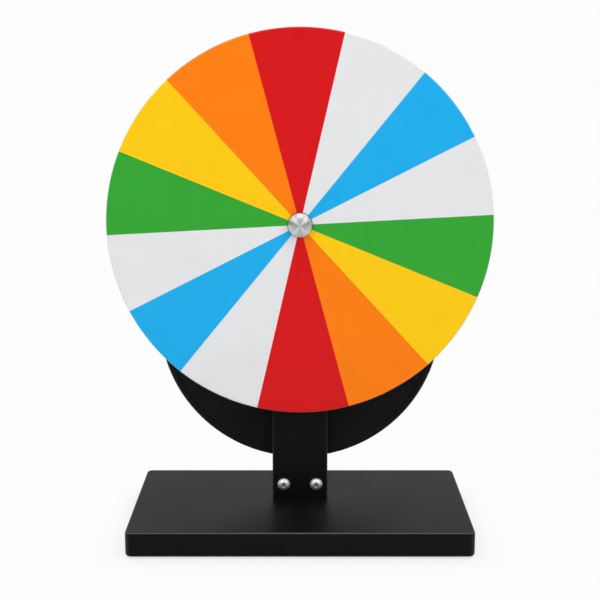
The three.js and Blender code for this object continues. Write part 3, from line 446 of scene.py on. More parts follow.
class Wiring:
    """Writes one node tree in short lines."""

    def __init__(self, tree: bpy.types.NodeTree) -> None:
        """Keeps the tree that it writes to."""
        self.tree = tree

    def feed(self, socket: Socket, value: Feed) -> None:
        """Links a socket or sets its value.

        Args:
            socket: the input.
            value: another node's output, or what to set.
        """
        if isinstance(value, Socket):
            self.tree.links.new(value, socket)
        else:
            socket.default_value = value

    def node(
        self, kind: str, *values: Feed, named: dict[str, Feed] | None = None, **settings: object
    ) -> Node:
        """Adds a node.

        Args:
            kind: its type, without the leading ShaderNode.
            values: what its first inputs get, in order.
            named: what other inputs get, by name.
            settings: its own options.

        Returns:
            The node.
        """
        made = self.tree.nodes.new("ShaderNode" + kind)
        for key, value in settings.items():
            setattr(made, key, value)
        for index, value in enumerate(values):
            self.feed(made.inputs[index], value)
        for key, value in (named or {}).items():
            self.feed(made.inputs[key], value)
        return made

    def place(self) -> Socket:
        """Gives the place on the piece, in the piece's own frame."""
        return self.node("TexCoord").outputs["Object"]

    def part(self, vector: Feed, axis: str) -> Socket:
        """Gives the X, Y or Z of a vector."""
        return self.node("SeparateXYZ", vector).outputs[axis]

    def math(self, operation: str, *values: Feed) -> Socket:
        """Adds a Math node and gives its output."""
        return self.node("Math", *values, operation=operation).outputs[0]

    def vector(self, operation: str, *values: Feed) -> Socket:
        """Adds a Vector Math node and gives its vector, or its number where it measures one."""
        output = 1 if operation in ("DOT_PRODUCT", "LENGTH") else 0
        return self.node("VectorMath", *values, operation=operation).outputs[output]

    def noise(self, place: Feed, scale: Feed, detail: float = 3.0) -> Socket:
        """Adds a Noise Texture on a place in the object and gives its value."""
        named = {"Vector": place, "Scale": scale, "Detail": detail}
        return self.node("TexNoise", named=named).outputs[0]

    def remap(self, value: Feed, start: Feed, end: Feed, low: float = 0.0, high: float = 1.0) -> Socket:
        """Stretches what lies from a start to an end over the range from low to high, and no further."""
        return self.node("MapRange", value, start, end, low, high).outputs[0]

    def ease(self, value: Feed, start: float, end: float, low: float = 0.0, high: float = 1.0) -> Socket:
        """Does the same with a soft start and a soft end."""
        settings = {"interpolation_type": "SMOOTHSTEP"}
        return self.node("MapRange", value, start, end, low, high, **settings).outputs[0]

    def spread(self, value: Feed, low: float = 0.0, high: float = 1.0) -> Socket:
        """Stretches a noise, which lies mostly between 0.3 and 0.7, over a range."""
        return self.remap(value, 0.3, 0.7, low, high)

    def around(self, value: Feed, centre: float, wander: float) -> Socket:
        """Stretches a noise to both sides of a centre."""
        return self.spread(value, centre - wander, centre + wander)

    def blend(self, share: Feed, first: Feed, second: Feed) -> Socket:
        """Mixes two colours.

        Args:
            share: how much of the second.
            first: the first colour.
            second: the second colour.

        Returns:
            The mixed colour.
        """
        mix = self.node("Mix", data_type="RGBA")
        self.feed(mix.inputs[0], share)
        self.feed(mix.inputs[6], opaque(first))
        self.feed(mix.inputs[7], opaque(second))
        return mix.outputs[2]

    def bump(self, height: Feed, depth: float) -> Socket:
        """Adds a Bump node for a height from 0 to 1 that measures a depth, and gives its normal."""
        named = {"Height": height, "Distance": depth, "Strength": 1.0}
        return self.node("Bump", named=named).outputs[0]

    def group(self, made: bpy.types.NodeTree, named: dict[str, Feed]) -> Node:
        """Places a node group with its own values.

        Args:
            made: the group.
            named: what its inputs get.

        Returns:
            The group's node.
        """
        placed = self.tree.nodes.new("ShaderNodeGroup")
        placed.node_tree = made
        for key, value in named.items():
            self.feed(placed.inputs[key], value)
        return placed


def opaque(colour: Feed) -> Feed:
    """Gives a plain colour its fourth number, and leaves a socket alone."""
    return colour if isinstance(colour, Socket) else (*colour, 1.0)


def shade(colour: Colour, factor: float) -> Colour:
    """Makes a linear colour lighter, with a factor above 1, or darker."""
    return tuple(min(value * factor, 1.0) for value in colour)


def from_display(red: int, green: int, blue: int) -> Colour:
    """Gives the linear colour of a paint chip read off a display, each part from 0 to 255."""
    values = (level / 255 for level in (red, green, blue))
    return tuple(v / 12.92 if v <= 0.04045 else ((v + 0.055) / 1.055) ** 2.4 for v in values)


class SharedEffects:
    """The effects that several finishes use, each a node group that is made once."""

    STIPPLE_SHARE = 0.4  # of the skin's height
    SWELL_SHARE = 0.6
    PATCHES_PER_SWELL = 0.08
    LATHE_LEAN = 0.7  # how far the marks also step along the axis
    LATHE_PATCHES = 260.0  # per metre
    HAIRLINE_TURNS = (12.0, 74.0, 131.0)  # in degrees
    HAIRLINE_STRETCH = (1.0, 60.0, 60.0)
    HAIRLINE_RANGE = (0.68, 0.76)  # where a streak starts to show and is full
    EDGE_HIGHLIGHT_RANGE = (-0.2, -0.02)  # the same for a crest, in roundings
    SCUFFS = 900.0  # per metre
    LEAST_SCUFF = 0.75

    @staticmethod
    def blank(name: str, inputs: dict[str, str], outputs: Sequence[str]) -> tuple[Wiring, Node, Node]:
        """Starts a node group.

        Args:
            name: its name.
            inputs: the kind of each input, by name.
            outputs: the names of its outputs.

        Returns:
            The wiring of the group, its input node and its output node.
        """
        tree = bpy.data.node_groups.new(name, "ShaderNodeTree")
        for key, kind in inputs.items():
            tree.interface.new_socket(name=key, in_out="INPUT", socket_type="NodeSocket" + kind)
        for key in outputs:
            tree.interface.new_socket(name=key, in_out="OUTPUT", socket_type="NodeSocketFloat")
        return Wiring(tree), tree.nodes.new("NodeGroupInput"), tree.nodes.new("NodeGroupOutput")

    @classmethod
    @cache
    def grain(cls) -> bpy.types.NodeTree:
        """Gives the group for a sprayed or moulded skin: fine stipple on a slow swell.

        Returns:
            The group, with outputs Height and Patches.
        """
        inputs = {"Place": "Vector", "Stipple": "Float", "Swell": "Float"}
        wiring, given, result = cls.blank("sprayed or moulded skin", inputs, ("Height", "Patches"))
        place = given.outputs["Place"]
        stipple = wiring.noise(place, given.outputs["Stipple"], 2.0)
        swell = wiring.noise(place, given.outputs["Swell"], 2.0)
        fine = wiring.math("MULTIPLY", stipple, cls.STIPPLE_SHARE)
        height = wiring.math("MULTIPLY_ADD", swell, cls.SWELL_SHARE, fine)
        slow = wiring.math("MULTIPLY", given.outputs["Swell"], cls.PATCHES_PER_SWELL)
        wiring.feed(result.inputs["Height"], height)
        wiring.feed(result.inputs["Patches"], wiring.noise(place, slow, 4.0))
        return wiring.tree

    @classmethod
    @cache
    def turning(cls) -> bpy.types.NodeTree:
        """Gives the group for the marks that a lathe tool leaves round an axis.

        Returns:
            The group, with outputs Rings and Patches.
        """
        inputs = {"Offset": "Vector", "Axis": "Vector", "Pitch": "Float"}
        wiring, given, result = cls.blank("turning marks", inputs, ("Rings", "Patches"))
        offset = given.outputs["Offset"]
        axis = given.outputs["Axis"]
        along = wiring.vector("DOT_PRODUCT", offset, axis)
        rise = wiring.node("VectorMath", axis, named={"Scale": along}, operation="SCALE").outputs[0]
        outward = wiring.vector("LENGTH", wiring.vector("SUBTRACT", offset, rise))
        track = wiring.math("MULTIPLY_ADD", along, cls.LATHE_LEAN, outward)
        tooth = wiring.math("DIVIDE", track, given.outputs["Pitch"])
        named = {"W": tooth, "Scale": 1.0, "Detail": 3.0}
        rings = wiring.node("TexNoise", named=named, noise_dimensions="1D")
        wiring.feed(result.inputs["Rings"], rings.outputs[0])
        wiring.feed(result.inputs["Patches"], wiring.noise(offset, cls.LATHE_PATCHES))
        return wiring.tree

    @classmethod
    @cache
    def handling(cls) -> bpy.types.NodeTree:
        """Gives the group for hairline marks from wiping and handling, which run three ways.

        Returns:
            The group, with output Hairlines.
        """
        inputs = {"Place": "Vector", "Density": "Float"}
        wiring, given, result = cls.blank("hairline marks", inputs, ("Hairlines",))
        lines = 0.0
        for turn in cls.HAIRLINE_TURNS:
            tilt = (math.radians(turn), math.radians(turn / 3), math.radians(turn * 2))
            mapped = wiring.node("Mapping", named={"Vector": given.outputs["Place"], "Rotation": tilt})
            wiring.feed(mapped.inputs["Scale"], cls.HAIRLINE_STRETCH)
            streak = wiring.noise(mapped.outputs[0], given.outputs["Density"], 1.0)
            lines = wiring.math("MAXIMUM", wiring.remap(streak, *cls.HAIRLINE_RANGE), lines)
        wiring.feed(result.inputs["Hairlines"], lines)
        return wiring.tree

    @classmethod
    @cache
    def edge_wear_and_highlight(cls) -> bpy.types.NodeTree:
        """Gives the group for the crest of a rounded edge, painted paler as a highlight and broken up by
        scuffs like wear.

        Its input Corner is 0 at the sharp corner that was rounded off, and less inside both faces.

        Returns:
            The group, with output WearAndHighlight.
        """
        inputs = {"Place": "Vector", "Corner": "Float", "Rounding": "Float"}
        wiring, given, result = cls.blank("worn edge and painted highlight", inputs, ("WearAndHighlight",))
        rounding = given.outputs["Rounding"]
        crest = wiring.math("MULTIPLY", rounding, math.sqrt(2) - 2)
        ends = [wiring.math("MULTIPLY_ADD", rounding, share, crest) for share in cls.EDGE_HIGHLIGHT_RANGE]
        line = wiring.remap(given.outputs["Corner"], *ends)
        scuffs = wiring.noise(given.outputs["Place"], cls.SCUFFS)
        scuff = wiring.spread(scuffs, cls.LEAST_SCUFF)
        # painted highlight: a pale line along the crest of the rounded edge, broken up by scuff noise
        wiring.feed(result.inputs["WearAndHighlight"], wiring.math("MULTIPLY", line, scuff))
        return wiring.tree


@dataclass(frozen=True)
class HighlitWornEdge:
    """A rounded edge whose crest is painted paler: a painted highlight, broken up like wear.

    Attributes:
        corner: 0 at the sharp corner that was rounded off, and less inside it.
        rounding: radius of the edge.
        share: how much of the painted highlight colour it gets.
    """

    corner: Socket
    rounding: float
    share: float

    def paint_edge_highlight(self, wiring: Wiring, place: Socket, tone: Socket, edge_highlight_colour: Colour) -> Socket:
        """Paints the paler highlight colour over a tone along the edge.

        Args:
            wiring: the material's wiring.
            place: the place on the piece.
            tone: the colour so far.
            edge_highlight_colour: the colour of the painted highlight.

        Returns:
            The colour.
        """
        named = {"Place": place, "Corner": self.corner, "Rounding": self.rounding}
        mask = wiring.group(SharedEffects.edge_wear_and_highlight(), named).outputs["WearAndHighlight"]
        # paints the paler highlight colour over the tone along the edge
        return wiring.blend(wiring.math("MULTIPLY", mask, self.share), tone, edge_highlight_colour)


def rim_corner(wiring: Wiring, place: Socket, axis: Axis, radius: float, front: float) -> Socket:
    """Measures how near a point lies to the front corner of a round plate.

    Args:
        wiring: the material's wiring.
        place: the place on the plate.
        axis: the plate's axis.
        radius: radius of the plate.
        front: its front face.

    Returns:
        0 at the sharp corner, and less inside it.
    """
    offset = wiring.vector("SUBTRACT", place, (axis.x, 0.0, axis.z))
    flat = wiring.vector("MULTIPLY", offset, (1.0, 0.0, 1.0))
    outside = wiring.math("SUBTRACT", wiring.vector("LENGTH", flat), radius)
    return wiring.math("ADD", outside, wiring.math("SUBTRACT", front, wiring.part(place, "Y")))


@dataclass(frozen=True)
class Finish:
    """What every finish has.

    Attributes:
        name: the material's name.
        slot: the record's slot that it stands for.
    """

    name: str
    slot: str

    def material(self) -> bpy.types.Material:
        """Gives the finish's material, made when it is first asked for.

        Returns:
            The material.
        """
        if self.name in bpy.data.materials:
            return bpy.data.materials[self.name]
        made = bpy.data.materials.new(self.name)
        made.use_nodes = True
        made.node_tree.nodes.clear()
        wiring = Wiring(made.node_tree)
        output = wiring.node("OutputMaterial")
        wiring.feed(output.inputs["Surface"], self.wire(wiring).outputs[0])
        return made

    def wire(self, wiring: Wiring) -> Node:
        """Writes the finish's nodes and gives its shader; each kind of finish has its own."""
        raise NotImplementedError


@dataclass(frozen=True)
class SprayedSkin(Finish):
    """A sprayed, powder coated or moulded skin of one colour.

    Attributes:
        colour: its colour, linear.
        patchy: its darkest and its lightest patches, against the colour.
        roughness: its middle roughness.
        wander: how far the roughness goes up and down.
        gloss: specular level.
        stipple: grains of the fine stipple per metre.
        swell: waves of the slow swell per metre.
        depth: height of the skin's grain.
        marks: how much hairline marks lighten it.
        mark_density: how closely the hairlines lie.
        mark_tone: how light the hairlines are, against the colour.
        mark_roughness: how much rougher they are.
        edge_highlight_colour: colour of the painted highlights along its rounded edges.
    """

    colour: Colour = (0.01, 0.01, 0.01)
    patchy: tuple[float, float] = (0.86, 1.16)
    roughness: float = 0.5
    wander: float = 0.05
    gloss: float = 0.5
    stipple: float = 1800.0
    swell: float = 320.0
    depth: float = 0.02 * MM
    marks: float = 0.2
    mark_density: float = 9.0
    mark_tone: float = 2.2
    mark_roughness: float = 0.12
    edge_highlight_colour: Colour = (0.13, 0.13, 0.13)

    def wire(self, wiring: Wiring) -> Node:
        """Writes the skin's nodes.

        Args:
            wiring: the material's wiring.

        Returns:
            The shader.
        """
        place = wiring.place()
        named = {"Place": place, "Stipple": self.stipple, "Swell": self.swell}
        grain = wiring.group(SharedEffects.grain(), named)
        marks = wiring.group(SharedEffects.handling(), {"Place": place, "Density": self.mark_density})
        patches = grain.outputs["Patches"]
        dark, light = (shade(self.colour, factor) for factor in self.patchy)
        tone = wiring.blend(wiring.spread(patches), dark, light)
        share = wiring.math("MULTIPLY", marks.outputs["Hairlines"], self.marks)
        tone = wiring.blend(share, tone, shade(self.colour, self.mark_tone))
        # each rounded edge gets a painted highlight in a paler colour
        for edge in self.painted_edge_highlights(wiring, place):
            tone = edge.paint_edge_highlight(wiring, place, tone, self.edge_highlight_colour)
        rough = wiring.around(patches, self.roughness, self.wander)
        named = {
            "Base Color": tone,
            "Roughness": wiring.math("MULTIPLY_ADD", share, self.mark_roughness, rough),
            "Specular IOR Level": self.gloss,
            "Normal": wiring.bump(grain.outputs["Height"], self.depth),
        }
        return wiring.node("BsdfPrincipled", named=named)

    def painted_edge_highlights(self, wiring: Wiring, place: Socket) -> list[HighlitWornEdge]:
        """Gives the skin's painted edge highlights; a plain skin has none."""
        return []


@dataclass(frozen=True)
class BoardLacquer(SprayedSkin):
    """The board's lacquer, with a painted highlight along its upper edge and fainter ones along its lower and
    upright edges.

    Attributes:
        top_edge_highlight: how much painted highlight the upper edge gets.
        other_edge_highlight: how much painted highlight the lower and the upright edges get.
    """

    top_edge_highlight: float = 0.75
    other_edge_highlight: float = 0.12

    def painted_edge_highlights(self, wiring: Wiring, place: Socket) -> list[HighlitWornEdge]:
        """Gives the upper edge, the lower edge and the upright corners.

        Args:
            wiring: the material's wiring.
            place: the place on the board.

        Returns:
            The edges.
        """
        low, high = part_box("base_board")
        corner = BaseBoard.corner_radius
        inner = (high.x - corner, high.y - corner, 0.0)
        past = wiring.vector("SUBTRACT", wiring.vector("ABSOLUTE", place), inner)
        past = wiring.vector("MULTIPLY", wiring.vector("MAXIMUM", past, (0.0,) * 3), (1.0, 1.0, 0.0))
        outside = wiring.math("SUBTRACT", wiring.vector("LENGTH", past), corner)
        height = wiring.part(place, "Z")
        above = wiring.math("ADD", outside, wiring.math("SUBTRACT", height, high.z))
        below = wiring.math("ADD", outside, wiring.math("SUBTRACT", low.z, height))
        both_ways = wiring.vector("DOT_PRODUCT", past, (1.0, 1.0, 0.0))
        upright = wiring.math("SUBTRACT", both_ways, 2 * corner)
        # painted highlights: paler lines along the rounded edges, strongest along the top
        return [
            HighlitWornEdge(above, BaseBoard.top_edge, self.top_edge_highlight),
            HighlitWornEdge(below, BaseBoard.bottom_edge, self.other_edge_highlight),
            HighlitWornEdge(upright, corner, self.other_edge_highlight),
        ]


@dataclass(frozen=True)
class PostCoat(SprayedSkin):
    """The post's powder coat, with a painted highlight along its two long front edges.

    Attributes:
        edge_highlight: how much painted highlight they get.
    """

    edge_highlight: float = 0.16

    def painted_edge_highlights(self, wiring: Wiring, place: Socket) -> list[HighlitWornEdge]:
        """Gives the long front edges.

        Args:
            wiring: the material's wiring.
            place: the place on the post.

        Returns:
            The edges, as one.
        """
        low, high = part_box("post")
        sideways = wiring.math("SUBTRACT", wiring.math("ABSOLUTE", wiring.part(place, "X")), high.x)
        forwards = wiring.math("SUBTRACT", low.y, wiring.part(place, "Y"))
        # painted highlight along the two long front edges
        return [HighlitWornEdge(wiring.math("ADD", sideways, forwards), Upright.edge, self.edge_highlight)]


@dataclass(frozen=True)
class WheelSkin(SprayedSkin):
    """The wheel's moulded skin, with a painted highlight round the front of its rim.

    Attributes:
        edge_highlight: how much painted highlight the rim gets.
    """

    edge_highlight: float = 0.35

    def painted_edge_highlights(self, wiring: Wiring, place: Socket) -> list[HighlitWornEdge]:
        """Gives the front edge of the rim."""
        corner = rim_corner(wiring, place, AXLE, CrankWheel.radius, reach("crank_wheel")[0])
        # painted highlight round the front edge of the rim
        return [HighlitWornEdge(corner, CrankWheel.rim_edge, self.edge_highlight)]


@dataclass(frozen=True)
class TurnedMetal(Finish):
    """Bare metal with the marks of the lathe round an axis.

    Attributes:
        colour: its colour, linear.
        patchy: its darkest and its lightest patches, against the colour.
        ring_share: how much of the rings' own tone shows.
        ring_tone: how dark the rings are, against the colour.
        centre: a point on the axis.
        axis: the axis.
        roughness: its middle roughness.
        wander: how far the roughness goes up and down.
        pitch: spacing of the marks.
        depth: height of the marks.
        brushed: how far the marks pull highlights out across them.
        socket: radius of a socket whose inside is painted darker as shade, or 0 for none.
        mouth: where that socket opens, along the axis from the centre.
        socket_shade_tone: how dark the painted shade is, against the colour.
        socket_shade_wall: where it starts, as a share of the socket's radius.
        socket_shade_depth: how far down the socket it is darkest.
    """

    colour: Colour = (0.62, 0.62, 0.63)
    patchy: tuple[float, float] = (0.94, 1.04)
    ring_share: float = 0.25
    ring_tone: float = 0.7
    centre: tuple[float, float, float] = (0.0, 0.0, 0.0)
    axis: tuple[float, float, float] = (0.0, 1.0, 0.0)
    roughness: float = 0.26
    wander: float = 0.06
    pitch: float = 0.12 * MM
    depth: float = 0.003 * MM
    brushed: float = 0.6
    socket: float = 0.0
    mouth: float = 0.0
    socket_shade_tone: float = 0.45
    socket_shade_wall: float = 0.92
    socket_shade_depth: float = 1 * MM

    def wire(self, wiring: Wiring) -> Node:
        """Writes the metal's nodes.

        Args:
            wiring: the material's wiring.

        Returns:
            The shader.
        """
        offset = wiring.vector("SUBTRACT", wiring.place(), self.centre)
        named = {"Offset": offset, "Axis": self.axis, "Pitch": self.pitch}
        marks = wiring.group(SharedEffects.turning(), named)
        patches = marks.outputs["Patches"]
        dark, light = (shade(self.colour, factor) for factor in self.patchy)
        tone = wiring.blend(wiring.spread(patches), dark, light)
        rings = wiring.spread(marks.outputs["Rings"], 0.0, self.ring_share)
        tone = wiring.blend(rings, tone, shade(self.colour, self.ring_tone))
        outward = wiring.vector("MULTIPLY", offset, [1.0 - abs(part) for part in self.axis])
        # painted shade: the inside of the socket is darkened
        if self.socket > 0.0:
            painted_socket_shade = self.painted_socket_shade(wiring, offset, outward)
            tone = wiring.blend(painted_socket_shade, tone, shade(self.colour, self.socket_shade_tone))
        to_world = {"vector_type": "VECTOR", "convert_from": "OBJECT", "convert_to": "WORLD"}
        across = wiring.node("VectorTransform", outward, **to_world)
        named = {
            "Base Color": tone,
            "Metallic": 1.0,
            "Roughness": wiring.around(patches, self.roughness, self.wander),
            "Anisotropic": self.brushed,
            "Tangent": wiring.vector("NORMALIZE", across.outputs[0]),
            "Normal": wiring.bump(marks.outputs["Rings"], self.depth),
        }
        return wiring.node("BsdfPrincipled", named=named)

    def painted_socket_shade(self, wiring: Wiring, offset: Socket, outward: Socket) -> Socket:
        """Finds the depth of the socket, which is painted darker as shade.

        Args:
            wiring: the material's wiring.
            offset: the place from the centre.
            outward: the same, square to the axis.

        Returns:
            1 in the socket and 0 on the head.
        """
        away = wiring.vector("LENGTH", outward)
        within = wiring.remap(away, self.socket, self.socket * self.socket_shade_wall)
        along = wiring.vector("DOT_PRODUCT", offset, self.axis)
        return wiring.math("MULTIPLY", within, wiring.remap(along, self.mouth, self.mouth + self.socket_shade_depth))


@dataclass(frozen=True)
class Sector:
    """One painted sector.

    Attributes:
        colour: its paint, linear.
        degrees: its width.
    """

    colour: Colour
    degrees: float


@dataclass(frozen=True)
class SectorPaint(Finish):
    """Printed colour sectors on the front and the edge of the disc, and bare white behind.

    Attributes:
        start: left edge of the first sector, in degrees clockwise from straight up.
        sectors: the sectors of half a turn, clockwise.
        plain: the bare white of the back, which also paints a paler highlight on the front edge.
        edge_highlight: how much of the white is painted on the crest of the edge as a highlight.
        deep: how dark the darkest patches are, against the paint.
        ink: how much higher the lightest paint lies than black would.
        grain: how much of the height is the paint's own grain.
        stipple: grains of the fine stipple per metre.
        swell: waves of the slow swell per metre.
        depth: height of the paint.
        roughness: its middle roughness.
        wander: how far the roughness goes up and down.
        gloss: specular level.
        mark_density: how closely hairline marks lie.
        mark_roughness: how much rougher they are.
    """

    start: float = -15.0
    sectors: tuple[Sector, ...] = (
        Sector(from_display(215, 25, 28), 27.5),
        Sector(from_display(229, 230, 232), 26.0),
        Sector(from_display(32, 174, 236), 24.0),
        Sector(from_display(229, 230, 232), 24.0),
        Sector(from_display(55, 166, 55), 25.5),
        Sector(from_display(254, 203, 22), 25.5),
        Sector(from_display(254, 128, 18), 27.5),
    )
    plain: Colour = from_display(229, 230, 232)
    edge_highlight: float = 0.06
    deep: float = 0.975
    ink: float = 0.35
    grain: float = 0.5
    stipple: float = 2600.0
    swell: float = 420.0
    depth: float = 0.012 * MM
    roughness: float = 0.3
    wander: float = 0.04
    gloss: float = 0.08
    mark_density: float = 7.0
    mark_roughness: float = 0.08

    def wire(self, wiring: Wiring) -> Node:
        """Writes the paint's nodes.

        Args:
            wiring: the material's wiring.

        Returns:
            The shader.
        """
        place = wiring.place()
        parts = wiring.node("SeparateXYZ", wiring.vector("SUBTRACT", place, (SHAFT.x, 0.0, SHAFT.z)))
        clockwise = wiring.math("ARCTAN2", parts.outputs["X"], parts.outputs["Z"])
        past_start = wiring.math("SUBTRACT", clockwise, math.radians(self.start))
        paint = self.ramp(wiring, wiring.math("FRACT", wiring.math("DIVIDE", past_start, math.pi)))
        named = {"Place": place, "Stipple": self.stipple, "Swell": self.swell}
        grain = wiring.group(SharedEffects.grain(), named)
        marks = wiring.group(SharedEffects.handling(), {"Place": place, "Density": self.mark_density})
        front, back = reach("colour_disc")
        behind = wiring.math("GREATER_THAN", parts.outputs["Y"], back - ColourDisc.edge / 2)
        tone = wiring.blend(behind, paint, self.plain)
        deep = wiring.node("HueSaturation", named={"Value": self.deep, "Color": tone}).outputs[0]
        tone = wiring.blend(wiring.spread(grain.outputs["Patches"]), deep, tone)
        corner = rim_corner(wiring, place, SHAFT, ColourDisc.radius, front)
        # painted highlight: the crest of the front edge is lightened towards the white
        tone = HighlitWornEdge(corner, ColourDisc.edge, self.edge_highlight).paint_edge_highlight(wiring, place, tone, self.plain)
        ink = wiring.math("MULTIPLY", wiring.node("RGBToBW", paint).outputs[0], self.ink)
        height = wiring.math("ADD", ink, wiring.math("MULTIPLY", grain.outputs["Height"], self.grain))
        rough = wiring.around(grain.outputs["Patches"], self.roughness, self.wander)
        named = {
            "Base Color": tone,
            "Roughness": wiring.math("MULTIPLY_ADD", marks.outputs["Hairlines"], self.mark_roughness, rough),
            "Specular IOR Level": self.gloss,
            "Normal": wiring.bump(height, self.depth),
        }
        return wiring.node("BsdfPrincipled", named=named)

    def ramp(self, wiring: Wiring, half_turn: Socket) -> Socket:
        """Lays the sectors' paints side by side over half a turn.

        Args:
            wiring: the material's wiring.
            half_turn: where a point lies in its half turn, from 0 to 1.

        Returns:
            The paint there.
        """
        node = wiring.node("ValToRGB", half_turn)
        ramp = node.color_ramp
        ramp.interpolation = "CONSTANT"
        edge = 0.0
        for index, sector in enumerate(self.sectors):
            stop = ramp.elements[0] if index == 0 else ramp.elements.new(edge / 180)
            stop.color = opaque(sector.colour)
            edge += sector.degrees
        ramp.elements.remove(ramp.elements[-1])
        return node.outputs[0]


@dataclass(frozen=True)
class Finishes:
    """The finishes of the object's own pieces."""

    lacquer: BoardLacquer = BoardLacquer(
        "board lacquer", "board_lacquer", colour=(0.0045, 0.0045, 0.0046), roughness=0.44, wander=0.03,
        gloss=0.063, stipple=1500.0, swell=260.0, depth=0.03 * MM, marks=0.12,
    )
    post_coat: PostCoat = PostCoat(
        "post powder coat", "stand_paint", colour=(0.0036, 0.0036, 0.0037), gloss=0.11, stipple=2100.0,
        swell=700.0, depth=0.03 * MM, marks=0.15,
    )
    coat: SprayedSkin = SprayedSkin(
        "powder coat", "stand_paint", colour=(0.0045, 0.0045, 0.0046), gloss=0.2, stipple=2100.0,
        swell=700.0, depth=0.03 * MM, marks=0.15,
    )
    wheel: WheelSkin = WheelSkin(
        "wheel plastic", "wheel_plastic", colour=(0.014, 0.014, 0.0143), wander=0.04, gloss=0.02,
        stipple=2400.0, swell=180.0, depth=0.012 * MM,
    )
    pulley: SprayedSkin = SprayedSkin(
        "pulley plastic", "pulley_plastic", colour=(0.045, 0.045, 0.047), roughness=0.45, gloss=0.4,
        stipple=2400.0, swell=220.0, depth=0.012 * MM,
    )
    grip: SprayedSkin = SprayedSkin(
        "grip plastic", "wheel_plastic", colour=(0.008, 0.008, 0.0083), roughness=0.36, gloss=0.4,
        stipple=2600.0, swell=240.0, depth=0.012 * MM, marks=0.35,
    )
    sole: SprayedSkin = SprayedSkin(
        "sole rubber", "rubber", colour=(0.012, 0.012, 0.012), roughness=0.85, gloss=0.2, stipple=2600.0,
        swell=900.0, depth=0.05 * MM, marks=0.05,
    )
    belt: SprayedSkin = SprayedSkin(
        "belt rubber", "belt_rubber", colour=(0.016, 0.016, 0.016), roughness=0.7, wander=0.06, gloss=0.3,
        stipple=3000.0, swell=600.0, depth=0.03 * MM, marks=0.1,
    )
    # the washer is a real fibre ring; its dark tone is also painted shade, deepening the thin ring round the
    # dome nut
    fibre: SprayedSkin = SprayedSkin(
        "pressed fibre", "fibre", colour=(0.06, 0.058, 0.055), roughness=0.8, gloss=0.3, stipple=4000.0,
        swell=1600.0, depth=0.05 * MM, marks=0.1,
    )
    paint: SectorPaint = SectorPaint("sector paint", "disc_paint")
    steel: TurnedMetal = TurnedMetal("turned steel", "bright_steel", centre=(0.0, 0.0, SHAFT.z))
    bright: TurnedMetal = TurnedMetal(
        "bright turned steel", "bright_steel", colour=(0.9, 0.9, 0.905), centre=(0.0, 0.0, SHAFT.z),
        roughness=0.42, wander=0.03, pitch=0.25 * MM, depth=0.0015 * MM, brushed=1.0,
    )
    zinc: TurnedMetal = TurnedMetal(
        "zinc plated steel", "bright_steel", colour=(0.92, 0.92, 0.93), roughness=0.47, wander=0.03,
        pitch=0.4 * MM, depth=0.001 * MM, brushed=0.0,
    )
    bronze: TurnedMetal = TurnedMetal(
        "sintered bronze", "bronze", colour=(0.36, 0.21, 0.08), centre=(0.0, 0.0, SHAFT.z), roughness=0.42,
        brushed=0.2,
    )


FINISHES = Finishes()


def about(metal: TurnedMetal, name: str, centre: Vector, upright: bool = False) -> TurnedMetal:
    """Gives a metal under a new name, marked round another axis, which runs backwards or upright."""
    axis = (0.0, 0.0, 1.0) if upright else (0.0, 1.0, 0.0)
    return replace(metal, name=name, centre=tuple(centre), axis=axis)


